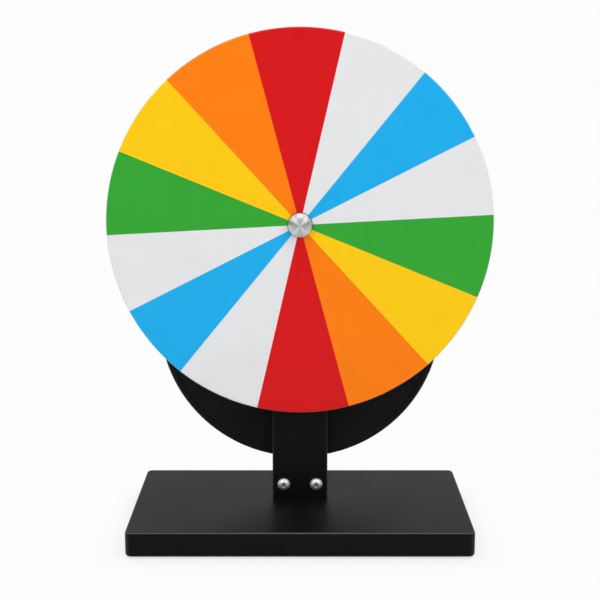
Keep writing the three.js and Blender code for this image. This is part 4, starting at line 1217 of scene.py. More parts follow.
@dataclass(frozen=True)
class Fasteners:
    """The screws, bolts and nuts, each made along Z with its seat at 0."""

    brim: float = 0.6 * MM  # upright edge of a button head
    button_flat: float = 0.3  # of the head's radius
    button_bend: float = 0.62
    button_shoulder: tuple[float, float] = (0.92, 0.42)  # of the radius and of the height
    tip: float = 0.6 * MM  # chamfer at the end of a thread
    pitch: float = 1.0 * MM
    thread_depth: float = 0.35 * MM
    ease: float = 0.2 * MM
    flush_radius: float = 2 * MM  # of a countersunk screw
    flush_head: float = 3.8 * MM
    flush_socket: float = 2.5 * MM
    flush_bite: float = 0.7  # depth of that socket, as a share of the head's height
    dome_step: float = 0.5 * MM  # how far a dome stands back from the flats
    dome_bend: float = 0.55

    def button(self, radius: float, height: float) -> list[Point]:
        """Gives the outline of a button head, from its middle down to its seat.

        Args:
            radius: radius of the head.
            height: height of the head.

        Returns:
            The corners.
        """
        out, up = self.button_shoulder
        crown = swept(
            (radius * self.button_flat, -height),
            (radius * self.button_bend, -height),
            (radius * out, -self.brim - (height - self.brim) * up),
            (radius, -self.brim),
        )
        return [(0.0, -height), *crown, (radius, 0.0, self.ease)]

    def shank(self, radius: float, start: float, end: float) -> list[Point]:
        """Gives the outline of a threaded end.

        Args:
            radius: outer radius of the thread.
            start: where the thread starts.
            end: where the shank ends.

        Returns:
            The corners.
        """
        turns = max(int((end - self.tip - start) / self.pitch), 1)
        ridges = []
        for turn in range(turns):
            crest = start + self.pitch * turn
            ridges += [(radius, crest), (radius - self.thread_depth, crest + self.pitch / 2)]
        return [*ridges, (radius, end - self.tip), (radius - self.tip, end), (0.0, end)]

    def socket(self, across_flats: float, top: float, depth: float) -> list[Mesh]:
        """Makes the cutters of a hexagon socket with a broken edge.

        Args:
            across_flats: width of the socket.
            top: where the socket opens.
            depth: how deep it is.

        Returns:
            The two cutters.
        """
        mouth = hexagon(across_flats)[1]
        lead = [(0.0, top - OVER), (mouth + OVER, top - OVER), (0.0, top + mouth)]
        return [prism(across_flats, top - OVER, top + depth), turned(lead)]

    def bolt(self, radius: float, length: float, head: Sequence[float], socket: Sequence[float]) -> Mesh:
        """Makes a button head bolt.

        Args:
            radius: radius of its thread.
            length: length under the head.
            head: radius and height of the head.
            socket: width and depth of its socket.

        Returns:
            The bolt.
        """
        outline = [*self.button(*head), (radius, 0.0), *self.shank(radius, length / 2, length)]
        return combined(turned(outline), self.socket(socket[0], -head[1], socket[1]))

    def countersunk(self, length: float) -> Mesh:
        """Makes a countersunk screw with a hexagon socket.

        Args:
            length: its whole length.

        Returns:
            The screw.
        """
        cone = self.flush_head - self.flush_radius
        outline = [(0.0, 0.0), (self.flush_head, 0.0), (self.flush_radius, cone)]
        outline += self.shank(self.flush_radius, cone + self.pitch, length)
        return combined(turned(outline), self.socket(self.flush_socket, 0.0, cone * self.flush_bite))

    def nut(self, across_flats: float, height: float, bore: float) -> Mesh:
        """Makes a hexagon nut with chamfered corners.

        Args:
            across_flats: its width.
            height: its height.
            bore: radius of its bore.

        Returns:
            The nut.
        """
        edge, corner, drop = hexagon(across_flats)
        lead = self.ease * 2
        outline = [
            (bore, lead),
            (bore + lead, 0.0),
            (edge, 0.0),
            (corner, drop),
            (corner, height - drop),
            (edge, height),
            (bore + lead, height),
            (bore, height - lead),
        ]
        return hexed(turned(outline), across_flats)

    def cap_nut(self, across_flats: float, height: float, bore: float, thread: float) -> Mesh:
        """Makes a hexagon nut with a dome over its thread.

        Args:
            across_flats: its width.
            height: its height, dome included.
            bore: radius of its thread.
            thread: depth of its thread.

        Returns:
            The nut.
        """
        edge, corner, drop = hexagon(across_flats)
        shoulder = height - edge
        foot = shoulder + drop
        dome = edge - self.dome_step
        crown = swept(
            (dome, foot),
            (dome, foot + (height - foot) * self.dome_bend),
            (dome * self.dome_bend, height),
            (0.0, height),
        )
        outline = [
            (0.0, thread),
            (bore, thread),
            (bore, self.ease),
            (bore + self.ease, 0.0),
            (edge, 0.0),
            (corner, drop),
            (corner, shoulder),
            *crown,
        ]
        return hexed(turned(outline), across_flats)


FASTENERS = Fasteners()


@dataclass(frozen=True)
class BushPair:
    """The two bronze bushes at the ends of a bore, each with a flange outside.

    Attributes:
        bore: radius of their bore.
        outer: radius of the sleeve.
        flange: radius of the flange.
        width: thickness of the flange.
        ease: rounding of the edges.
    """

    bore: float
    outer: float
    flange: float
    width: float = 1.5 * MM
    ease: float = 0.25 * MM

    def build(self, axis: Axis, finish: Finish, body: Body, name: str, node: str) -> None:
        """Builds and dresses both bushes.

        Args:
            axis: the line that they lie on.
            finish: their finish.
            body: the body that they ride on.
            name: their name, without the end.
            node: the node that they stand for, without the end.
        """
        for end in ENDS:
            start, stop = reach(f"{node}_{end}")
            if end == "rear":
                start, stop = stop, start
            settle(axis.lay(self.bush(start, stop)), f"{name}_{end}", finish, body, f"{node}_{end}")

    def bush(self, start: float, stop: float) -> Mesh:
        """Makes one bush.

        Args:
            start: where its flange starts, along the axis.
            stop: where its sleeve ends.

        Returns:
            The bush.
        """
        seat = start + math.copysign(self.width, stop - start)
        outline = [
            (self.bore, start, self.ease),
            (self.flange, start, self.ease),
            (self.flange, seat, self.ease),
            (self.outer, seat),
            (self.outer, stop, self.ease),
            (self.bore, stop, self.ease),
        ]
        return turned(outline)


@dataclass(frozen=True)
class Groove:
    """The round channel of a pulley and the rim on both sides of it."""

    belt_radius: float = 2.5 * MM
    room: float = 0.3 * MM
    flange: float = 3.2 * MM
    edge: float = 0.8 * MM

    def rim(self, radius: float, front: float, back: float) -> list[Point]:
        """Gives the outline of a rim from its front face to its back face.

        Args:
            radius: radius of the middle of the belt.
            front: front face of the pulley.
            back: back face of the pulley.

        Returns:
            The corners.
        """
        channel = self.belt_radius + self.room
        outer = radius + self.flange
        angles = [math.pi * step / CURVE_STEPS for step in range(CURVE_STEPS + 1)]
        floor = [(radius - channel * math.sin(a), BELT_Y - channel * math.cos(a)) for a in angles]
        return [
            (outer, front, self.edge),
            (outer, BELT_Y - channel, self.edge / 2),
            *floor,
            (outer, BELT_Y + channel, self.edge / 2),
            (outer, back, self.edge),
        ]


GROOVE = Groove()


@dataclass(frozen=True)
class BaseBoard:
    """The lacquered board, with four rubber feet let into its underside."""

    corner_radius: float = 5 * MM
    corner_steps: int = 12
    top_edge: float = 1.5 * MM
    top_steps: int = 5
    bottom_edge: float = 2.6 * MM
    bottom_steps: int = 6
    foot_radius: float = 9 * MM
    foot_edge: float = 0.6 * MM
    tread_radius: float = 6.2 * MM
    tread_width: float = 1.0 * MM
    tread_depth: float = 0.35 * MM
    screw_sink: float = 0.5 * MM

    def build(self) -> None:
        """Builds and dresses the board, its feet and their screws."""
        feet = [f"{end}_{side}" for end in ENDS for side in SIDES]
        cutters = [self.foot_cutter(foot) for foot in feet]
        cutters += [self.pilot_cutter(f"bracket_screw_{side}") for side in SIDES]
        settle(combined(self.slab(), cutters), "lacquered_board", FINISHES.lacquer, Body.STAND, "base_board")
        for foot in feet:
            node = f"foot_{foot}"
            low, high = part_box(node)
            sole = stood(self.foot(high.z - low.z), node, low.z)
            settle(sole, f"sole_{foot}", FINISHES.sole, Body.STAND, node)
            finish = about(FINISHES.zinc, f"foot screw zinc {foot}", centre_of(node), True)
            low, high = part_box(f"foot_screw_{foot}")
            screw = stood(FASTENERS.countersunk(high.z - low.z), node, low.z)
            settle(screw, f"sole_screw_{foot}", finish, Body.STAND, f"foot_screw_{foot}")

    def slab(self) -> Mesh:
        """Makes the board without its recesses.

        Returns:
            The board.
        """
        low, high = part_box("base_board")
        mesh = bmesh.new()
        bmesh.ops.create_cube(mesh, size=1.0)
        bmesh.ops.scale(mesh, vec=high - low, verts=mesh.verts)
        bmesh.ops.translate(mesh, vec=(low + high) / 2, verts=mesh.verts)
        upright = [edge for edge in mesh.edges if abs(edge.verts[0].co.z - edge.verts[1].co.z) > MM]
        round_off(mesh, upright, self.corner_radius, self.corner_steps)
        round_off(mesh, edges_at(mesh, z=high.z), self.top_edge, self.top_steps)
        round_off(mesh, edges_at(mesh, z=low.z), self.bottom_edge, self.bottom_steps)
        return mesh

    def foot_cutter(self, foot: str) -> Mesh:
        """Makes the recess of a foot with the pilot hole of its screw.

        Args:
            foot: which foot.

        Returns:
            The cutter.
        """
        low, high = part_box(f"foot_{foot}")
        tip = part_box(f"foot_screw_{foot}")[1].z + FIT
        throat = FASTENERS.flush_radius + FIT
        outline = [
            (0.0, low.z - OVER),
            (self.foot_radius + FIT, low.z - OVER),
            (self.foot_radius + FIT, high.z),
            (throat, high.z),
            (throat, tip),
            (0.0, tip),
        ]
        return stood(turned(outline), f"foot_{foot}")

    def pilot_cutter(self, screw: str) -> Mesh:
        """Makes the pilot hole of a screw of the bracket."""
        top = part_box("base_board")[1].z + OVER
        return stood(rod(Upright.screw_radius + FIT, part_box(screw)[0].z - FIT, top), screw)

    def foot(self, height: float) -> Mesh:
        """Makes a rubber foot with a tread ring and a countersunk hole.

        Args:
            height: height of the foot.

        Returns:
            The foot.
        """
        mouth = FASTENERS.flush_head + FIT
        throat = FASTENERS.flush_radius + FIT
        half_tread = self.tread_width / 2
        outline = [
            (mouth, 0.0),
            (self.tread_radius - half_tread - self.tread_depth, 0.0),
            (self.tread_radius - half_tread, self.tread_depth),
            (self.tread_radius + half_tread, self.tread_depth),
            (self.tread_radius + half_tread + self.tread_depth, 0.0),
            (self.foot_radius, 0.0, self.foot_edge),
            (self.foot_radius, height),
            (throat, height),
            (throat, self.screw_sink + mouth - throat),
            (mouth, self.screw_sink),
        ]
        return turned(outline)


@dataclass(frozen=True)
class Upright:
    """The post with its bracket, and the fasteners that hold them to each other and to the board."""

    edge: float = 1.8 * MM
    edge_steps: int = 5
    top_steps: int = 64
    sheet: float = 4 * MM
    sheet_edge: float = 0.4 * MM
    sheet_steps: int = 3
    bend: float = 2 * MM
    bend_steps: int = 10
    square: float = math.radians(60)  # the least turn of an edge that isn't bent yet
    bolt_radius: float = 3 * MM
    bolt_head: tuple[float, float] = (5.25 * MM, 3.3 * MM)
    bolt_socket: tuple[float, float] = (4 * MM, 2 * MM)
    nut_flats: float = 10 * MM
    screw_radius: float = 2.5 * MM
    screw_head: tuple[float, float] = (4.6 * MM, 2.6 * MM)
    screw_socket: tuple[float, float] = (3 * MM, 1.8 * MM)

    def build(self) -> None:
        """Builds and dresses the post, the bracket and their fasteners."""
        front, back = reach("post")
        holes = [SHAFT.hole(Bearing.spigot, front, back), AXLE.hole(CrankAxle.thread, front, back)]
        holes += self.bolt_holes(front, back)
        settle(combined(self.bar(), holes), "upright_bar", FINISHES.post_coat, Body.STAND, "post")
        settle(self.bracket(), "angle_bracket", FINISHES.coat, Body.STAND, "post_bracket")
        for side in SIDES:
            self.bolt_set(side)
            self.board_screw(side)

    def bolt_holes(self, front: float, back: float) -> list[Mesh]:
        """Makes the cutters of the two bolts' holes through what lies between two faces."""
        return [Axis.through(f"post_bolt_{side}").hole(self.bolt_radius, front, back) for side in SIDES]

    def bar(self) -> Mesh:
        """Makes the flat bar with its round top and its rounded edges.

        Returns:
            The bar, without its holes.
        """
        low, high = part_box("post")
        mesh = bmesh.new()
        foot = [mesh.verts.new((x, low.y, low.z)) for x in (low.x, high.x)]
        shoulder = mesh.verts.new((high.x, low.y, SHAFT.z))
        mesh.edges.new(foot)
        mesh.edges.new((foot[1], shoulder))
        arc = bmesh.ops.spin(
            mesh,
            geom=[shoulder],
            cent=(0.0, low.y, SHAFT.z),
            axis=(0.0, 1.0, 0.0),
            angle=-math.pi,
            steps=self.top_steps,
        )
        mesh.edges.new((only(Vert, arc["geom_last"])[0], foot[0]))
        bmesh.ops.edgeloop_fill(mesh, edges=mesh.edges[:])
        drawn_out(mesh, (0.0, high.y - low.y, 0.0))
        outline = [
            edge
            for edge in edges_at(mesh, y=low.y) + edges_at(mesh, y=high.y)
            if max(vert.co.z for vert in edge.verts) > low.z + WELD
        ]
        round_off(mesh, outline, self.edge, self.edge_steps)
        return mesh

    def bracket(self) -> Mesh:
        """Makes the bent angle with its four holes.

        Returns:
            The bracket.
        """
        low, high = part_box("post_bracket")
        inner = low.y + self.sheet, low.z + self.sheet
        corners = [
            (high.y, low.z),
            (high.y, inner[1]),
            inner,
            (inner[0], high.z),
            (low.y, high.z),
            (low.y, low.z),
        ]
        mesh = bmesh.new()
        mesh.faces.new([mesh.verts.new((low.x, y, z)) for y, z in corners])
        drawn_out(mesh, (high.x - low.x, 0.0, 0.0))
        round_off(mesh, edges_at(mesh, y=inner[0], z=inner[1]), self.bend, self.bend_steps)
        round_off(mesh, edges_at(mesh, y=low.y, z=low.z), self.bend + self.sheet, self.bend_steps)
        sharp = [edge for edge in mesh.edges if edge.calc_face_angle(0.0) > self.square]
        round_off(mesh, sharp, self.sheet_edge, self.sheet_steps)
        holes = self.bolt_holes(low.y, inner[0])
        for side in SIDES:
            hole = rod(self.screw_radius + FIT, low.z - OVER, inner[1] + OVER)
            holes.append(stood(hole, f"bracket_screw_{side}"))
        return combined(mesh, holes)

    def bolt_set(self, side: str) -> None:
        """Builds and dresses a bolt with its washer and its nut.

        Args:
            side: left or right.
        """
        node = f"post_bolt_{side}"
        axis = Axis.through(node)
        centre = centre_of(node)
        front, back = reach(node)
        finish = about(FINISHES.zinc, f"bolt zinc {side}", centre)
        # the bolt head's socket gets painted shade inside
        shaded_socket = hexagon(self.bolt_socket[0])[1]
        head_finish = replace(finish, name=f"bolt head zinc {side}", socket=shaded_socket, mouth=front - centre.y)
        seat = front + self.bolt_head[1]
        bolt = FASTENERS.bolt(self.bolt_radius, back - seat, self.bolt_head, self.bolt_socket)
        settle(axis.lay(bolt, seat), f"button_bolt_{side}", head_finish, Body.STAND, node)
        bore = self.bolt_radius + FIT
        node = f"post_washer_{side}"
        washer = collar(bore, half_width(node), *reach(node), FASTENERS.ease)
        settle(axis.lay(washer), f"flat_washer_{side}", finish, Body.STAND, node)
        node = f"post_nut_{side}"
        front, back = reach(node)
        nut = axis.lay(FASTENERS.nut(self.nut_flats, back - front, bore), front)
        settle(nut, f"hex_nut_{side}", finish, Body.STAND, node)

    def board_screw(self, side: str) -> None:
        """Builds and dresses a screw that holds the bracket down.

        Args:
            side: left or right.
        """
        node = f"bracket_screw_{side}"
        low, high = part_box(node)
        centre = centre_of(node)
        seat = high.z - self.screw_head[1]
        screw = FASTENERS.bolt(self.screw_radius, seat - low.z, self.screw_head, self.screw_socket)
        finish = about(FINISHES.zinc, f"bracket screw zinc {side}", centre, True)
        screw = moved(screw, Facing.DOWN.at(centre.x, centre.y, seat))
        settle(screw, f"board_screw_{side}", finish, Body.STAND, node)


@dataclass(frozen=True)
class Bearing:
    """The housing in the top of the post, with a bronze bush at each end."""

    outer: float = 15 * MM
    spigot: float = 12 * MM
    bore: float = 7.2 * MM
    chamfer: float = 1 * MM
    ease: float = 0.25 * MM
    bushes: BushPair = BushPair(4.1 * MM, 7.1 * MM, 9.1 * MM)

    def build(self) -> None:
        """Builds and dresses the housing and its bushes."""
        front, back = reach("bearing_housing")
        seat = reach("post")[0]
        outline = [
            (self.bore, front),
            (self.outer - self.chamfer, front, self.ease),
            (self.outer, front + self.chamfer, self.ease),
            (self.outer, seat),
            (self.spigot, seat),
            (self.spigot, back),
            (self.bore, back),
        ]
        settle(SHAFT.lay(turned(outline)), "bearing_block", FINISHES.coat, Body.STAND, "bearing_housing")
        self.bushes.build(SHAFT, FINISHES.bronze, Body.STAND, "shaft_bush", "disc_bush")


@dataclass(frozen=True)
class ColourDisc:
    """The disc and all that turns with it: shaft, hub, nut and small pulley."""

    radius: float = 150 * MM
    edge: float = 1.4 * MM
    shaft: float = 4 * MM
    bore: float = 4.1 * MM
    hub_flange: float = 22 * MM
    hub_flange_width: float = 4 * MM
    hub_boss: float = 10 * MM
    hub_ease: float = 0.8 * MM
    washer: float = 9.7 * MM
    washer_ease: float = 0.15 * MM
    nut: float = 9.2 * MM
    nut_skirt: float = 1.6 * MM
    nut_ease: float = 0.3 * MM
    nut_round: float = 0.5
    thread_depth: float = 5.5 * MM
    pulley: float = 12 * MM
    grub: float = 1.5 * MM
    grub_lead: float = 0.3 * MM
    grub_socket: tuple[float, float] = (1.5 * MM, 1.2 * MM)

    def build(self) -> None:
        """Builds and dresses the disc's pieces."""
        washer = collar(self.bore, self.washer, *reach("disc_washer"), self.washer_ease)
        for mesh, name, finish, node in (
            (self.plate(), "painted_disc", FINISHES.paint, "colour_disc"),
            (self.axle(), "disc_spindle", FINISHES.steel, "disc_shaft"),
            (self.hub(), "flanged_hub", FINISHES.coat, "disc_hub"),
            (washer, "fibre_ring", FINISHES.fibre, "disc_washer"),
            (self.dome(), "bright_dome", FINISHES.bright, "dome_nut"),
            (self.small_pulley(), "shaft_pulley", FINISHES.pulley, "small_pulley"),
        ):
            settle(SHAFT.lay(mesh), name, finish, Body.DISC, node)
        for piece in ("hub", "pulley"):
            self.set_screw(piece)

    def plate(self) -> Mesh:
        """Makes the disc itself, with its rounded edge.

        Returns:
            The disc.
        """
        front, back = reach("colour_disc")
        outline = [
            (self.bore, front),
            (self.radius, front, self.edge, EDGE_STEPS),
            (self.radius, back, self.edge, EDGE_STEPS),
            (self.bore, back),
        ]
        return turned(outline, FINE_STEPS)

    def axle(self) -> Mesh:
        """Makes the shaft, chamfered at both ends.

        Returns:
            The shaft.
        """
        front, back = reach("disc_shaft")
        tip = FASTENERS.tip
        outline = [
            (0.0, front),
            (self.shaft - tip, front),
            (self.shaft, front + tip),
            (self.shaft, back - tip),
            (self.shaft - tip, back),
            (0.0, back),
        ]
        return turned(outline)

    def hub(self) -> Mesh:
        """Makes the hub behind the disc, with the hole of its set screw.

        Returns:
            The hub.
        """
        front, back = reach("disc_hub")
        shoulder = front + self.hub_flange_width
        outline = [
            (self.bore, front),
            (self.hub_flange, front, FASTENERS.ease),
            (self.hub_flange, shoulder, self.hub_ease),
            (self.hub_boss, shoulder, self.hub_ease / 2),
            (self.hub_boss, back, self.hub_ease / 2),
            (self.bore, back),
        ]
        return combined(turned(outline), [self.grub_hole("hub", self.hub_boss)])

    def grub_hole(self, piece: str, surface: float) -> Mesh:
        """Makes the cutter of a set screw's hole, as it lies before the piece is laid on the shaft.

        Args:
            piece: the piece with the hole, hub or pulley.
            surface: radius of the surface that it opens in.

        Returns:
            The cutter.
        """
        along = sum(reach(f"{piece}_grub_screw")) / 2
        return moved(rod(self.grub + FIT, 0.0, surface + OVER), Facing.BACK.at(0.0, 0.0, along))

    def set_screw(self, piece: str) -> None:
        """Builds and dresses the set screw of a piece, which points down.

        Args:
            piece: the piece that it holds, hub or pulley.
        """
        node = f"{piece}_grub_screw"
        low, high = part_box(node)
        screw = turned([(0.0, 0.0), *FASTENERS.shank(self.grub, self.grub_lead, high.z - low.z)])
        width, depth = self.grub_socket
        screw = stood(combined(screw, [prism(width, -OVER, depth)]), node, low.z)
        finish = about(FINISHES.steel, f"{piece} set screw steel", centre_of(node), True)
        settle(screw, f"{piece}_set_screw", finish, Body.DISC, node)

    def dome(self) -> Mesh:
        """Makes the domed nut.

        Returns:
            The nut.
        """
        top, seat = reach("dome_nut")
        start = (self.nut, seat - self.nut_skirt)
        crown = swept(start, (self.nut, top), (self.nut * self.nut_round, top), (0.0, top))
        outline = [
            (0.0, seat - self.thread_depth),
            (self.bore, seat - self.thread_depth),
            (self.bore, seat),
            (self.nut, seat, self.nut_ease),
            *crown,
        ]
        return turned(outline, FINE_STEPS)

    def small_pulley(self) -> Mesh:
        """Makes the small pulley, with the hole of its set screw.

        Returns:
            The pulley.
        """
        front, back = reach("small_pulley")
        outline = [(self.bore, front), *GROOVE.rim(self.pulley, front, back), (self.bore, back)]
        return combined(turned(outline), [self.grub_hole("pulley", self.pulley)])


@dataclass(frozen=True)
class DriveBelt:
    """The round belt over both pulleys."""

    sides: int = 20
    steps_per_turn: int = 160
    seam: float = 0.01 * MM

    def build(self) -> None:
        """Builds and dresses the belt."""
        settle(self.loop(), "round_belt", FINISHES.belt, Body.STAND, "drive_belt")

    def loop(self) -> Mesh:
        """Runs a round section down, round the large pulley, up, and over the small pulley.

        Returns:
            The belt, closed on itself.
        """
        spacing = SHAFT.z - AXLE.z
        lean = math.asin((CrankWheel.pulley - ColourDisc.pulley) / spacing)
        straight = spacing * math.cos(lean)
        outward = Vector((math.cos(lean), 0.0, math.sin(lean)))
        onward = Vector((math.sin(lean), 0.0, -math.cos(lean)))
        backward = Vector((0.0, 1.0, 0.0))
        top = Vector((SHAFT.x, BELT_Y, SHAFT.z))
        place = Matrix((outward, backward, onward)).transposed().to_4x4()
        place.translation = top + outward * ColourDisc.pulley
        mesh = bmesh.new()
        bmesh.ops.create_circle(mesh, radius=GROOVE.belt_radius, segments=self.sides, matrix=place)
        ring = self.pulled(mesh, mesh.edges[:], onward * straight)
        ring = self.wrapped(mesh, ring, Vector((AXLE.x, BELT_Y, AXLE.z)), math.pi + 2 * lean)
        ring = self.pulled(mesh, ring, Vector((math.sin(lean), 0.0, math.cos(lean))) * straight)
        self.wrapped(mesh, ring, top, math.pi - 2 * lean)
        bmesh.ops.remove_doubles(mesh, verts=mesh.verts, dist=self.seam)
        bmesh.ops.recalc_face_normals(mesh, faces=mesh.faces)
        return mesh

    def pulled(self, mesh: Mesh, ring: list[Edge], way: Vector) -> list[Edge]:
        """Pulls a ring of edges straight on.

        Args:
            mesh: the belt.
            ring: the ring.
            way: how far and where.

        Returns:
            The ring at the far end.
        """
        made = bmesh.ops.extrude_edge_only(mesh, edges=ring)["geom"]
        verts = only(Vert, made)
        bmesh.ops.translate(mesh, verts=verts, vec=way)
        return [edge for edge in only(Edge, made) if set(edge.verts) <= set(verts)]

    def wrapped(self, mesh: Mesh, ring: list[Edge], centre: Vector, angle: float) -> list[Edge]:
        """Wraps a ring of edges round a pulley.

        Args:
            mesh: the belt.
            ring: the ring.
            centre: middle of the pulley.
            angle: how far it goes round, clockwise as seen from the front.

        Returns:
            The ring at the far end.
        """
        verts = list({vert for edge in ring for vert in edge.verts})
        made = bmesh.ops.spin(
            mesh,
            geom=verts + ring,
            cent=centre,
            axis=(0.0, 1.0, 0.0),
            angle=angle,
            steps=round(self.steps_per_turn * angle / math.tau),
        )
        return only(Edge, made["geom_last"])


@dataclass(frozen=True)
class CrankWheel:
    """The wheel with its drive pulley and its bushes."""

    radius: float = 115 * MM
    rim: float = 6 * MM
    rim_width: float = 15 * MM
    rim_edge: float = 2 * MM
    lip: float = 1 * MM
    lip_width: float = 4.5 * MM
    lip_edge: float = 0.5 * MM
    web: float = 5 * MM
    fillet: float = 2.5 * MM
    boss: float = 16 * MM
    boss_edge: float = 0.8 * MM
    bore: float = 8.2 * MM
    arm_boss: float = 10 * MM
    arm_boss_length: float = 6 * MM
    arm_boss_edge: float = 1 * MM
    arm_boss_root: float = 4 * MM
    arm_boss_sink: float = 0.02 * MM
    pulley: float = 60 * MM
    pulley_rim: float = 6 * MM
    pulley_web: float = 4 * MM
    pulley_hub: float = 22 * MM
    pulley_edge: float = 0.5 * MM
    pulley_fillet: float = 1 * MM
    screws: int = 3
    screw_circle: float = 15.5 * MM
    bushes: BushPair = BushPair(5.1 * MM, 8.1 * MM, 10.1 * MM)

    def build(self) -> None:
        """Builds and dresses the wheel's pieces."""
        settle(AXLE.lay(self.wheel()), "moulded_wheel", FINISHES.wheel, Body.CRANK, "crank_wheel")
        settle(AXLE.lay(self.drive_pulley()), "large_pulley", FINISHES.pulley, Body.CRANK, "drive_pulley")
        bronze = replace(FINISHES.bronze, name="wheel bush bronze", centre=(AXLE.x, 0.0, AXLE.z))
        self.bushes.build(AXLE, bronze, Body.CRANK, "axle_bush", "wheel_bush")
        for number in range(1, self.screws + 1):
            node = f"pulley_screw_{number}"
            front, back = reach(node)
            screw = Axis.through(node).lay(FASTENERS.countersunk(back - front), front)
            finish = about(FINISHES.zinc, f"pulley screw zinc {number}", centre_of(node))
            settle(screw, f"flush_screw_{number}", finish, Body.CRANK, node)

    def wheel(self) -> Mesh:
        """Makes the wheel with the boss of its handle and its holes.

        Returns:
            The wheel, along Z about its own axis.
        """
        rim_front, boss_back = reach("crank_wheel")
        web_front = reach("drive_pulley")[1]
        web_back = web_front + self.web
        rim_back = rim_front + self.rim_width
        inner = self.radius - self.rim
        lip_inner = self.radius - self.lip_width
        outline = [
            (self.bore, web_front),
            (lip_inner - self.lip, web_front, self.lip_edge),
            (lip_inner, rim_front, self.lip_edge),
            (self.radius, rim_front, self.rim_edge, EDGE_STEPS),
            (self.radius, rim_back, self.rim_edge, EDGE_STEPS),
            (inner, rim_back, self.rim_edge, EDGE_STEPS),
            (inner, web_back, self.fillet, EDGE_STEPS),
            (self.boss, web_back, self.fillet, EDGE_STEPS),
            (self.boss, boss_back, self.boss_edge),
            (self.bore, boss_back),
        ]
        top = web_back + self.arm_boss_length
        root = self.arm_boss + self.arm_boss_root
        seat = web_back - self.arm_boss_sink
        boss = [
            (0.0, web_front + self.web / 2),
            (root, web_front + self.web / 2),
            (root, seat),
            (self.arm_boss, seat, self.fillet, EDGE_STEPS),
            (self.arm_boss, top, self.arm_boss_edge),
            (0.0, top),
        ]
        down = Matrix.Translation((0.0, AXLE.z - pivot("grip_spin").z, 0.0))
        joined = combined(turned(outline, FINE_STEPS), [moved(turned(boss), down)], Cut.JOIN)
        holes = [moved(rod(Handle.thread + FIT, web_front - OVER, top + OVER), down)]
        tip = reach("pulley_screw_1")[1] + FIT
        for place in self.screw_places():
            holes.append(moved(rod(FASTENERS.flush_radius + FIT, web_front - OVER, tip), place))
        return combined(joined, holes)

    def screw_places(self) -> list[Matrix]:
        """Gives the moves from the wheel's axis to each of the pulley's screws, the first one up."""
        arms = [Matrix.Rotation(-math.tau * index / self.screws, 4, "Z") for index in range(self.screws)]
        return [Matrix.Translation(arm @ Vector((0.0, -self.screw_circle, 0.0))) for arm in arms]

    def drive_pulley(self) -> Mesh:
        """Makes the drive pulley with its countersunk holes.

        Returns:
            The pulley, along Z about its own axis.
        """
        rim_front, face_back = reach("small_pulley")
        hub_front = reach("pulley_screw_1")[0]
        hub_back = reach("drive_pulley")[1]
        web_front = BELT_Y - self.pulley_web / 2
        web_back = BELT_Y + self.pulley_web / 2
        inner = self.pulley - GROOVE.belt_radius - GROOVE.room - self.pulley_rim
        outline = [
            (self.bore, hub_front),
            (self.pulley_hub, hub_front, self.pulley_edge),
            (self.pulley_hub, web_front, self.pulley_edge),
            (inner, web_front, self.pulley_fillet),
            (inner, rim_front, self.pulley_edge),
            *GROOVE.rim(self.pulley, rim_front, face_back),
            (inner, face_back, self.pulley_edge),
            (inner, web_back, self.pulley_fillet),
            (self.pulley_hub, web_back, self.pulley_edge),
            (self.pulley_hub, hub_back),
            (self.bore, hub_back),
        ]
        mouth = FASTENERS.flush_head + FIT
        throat = FASTENERS.flush_radius + FIT
        sink = [
            (0.0, hub_front - OVER),
            (mouth, hub_front - OVER),
            (mouth, hub_front),
            (throat, hub_front + mouth - throat),
            (throat, hub_back + OVER),
            (0.0, hub_back + OVER),
        ]
        holes = [moved(turned(sink), place) for place in self.screw_places()]
        return combined(turned(outline, FINE_STEPS), holes)


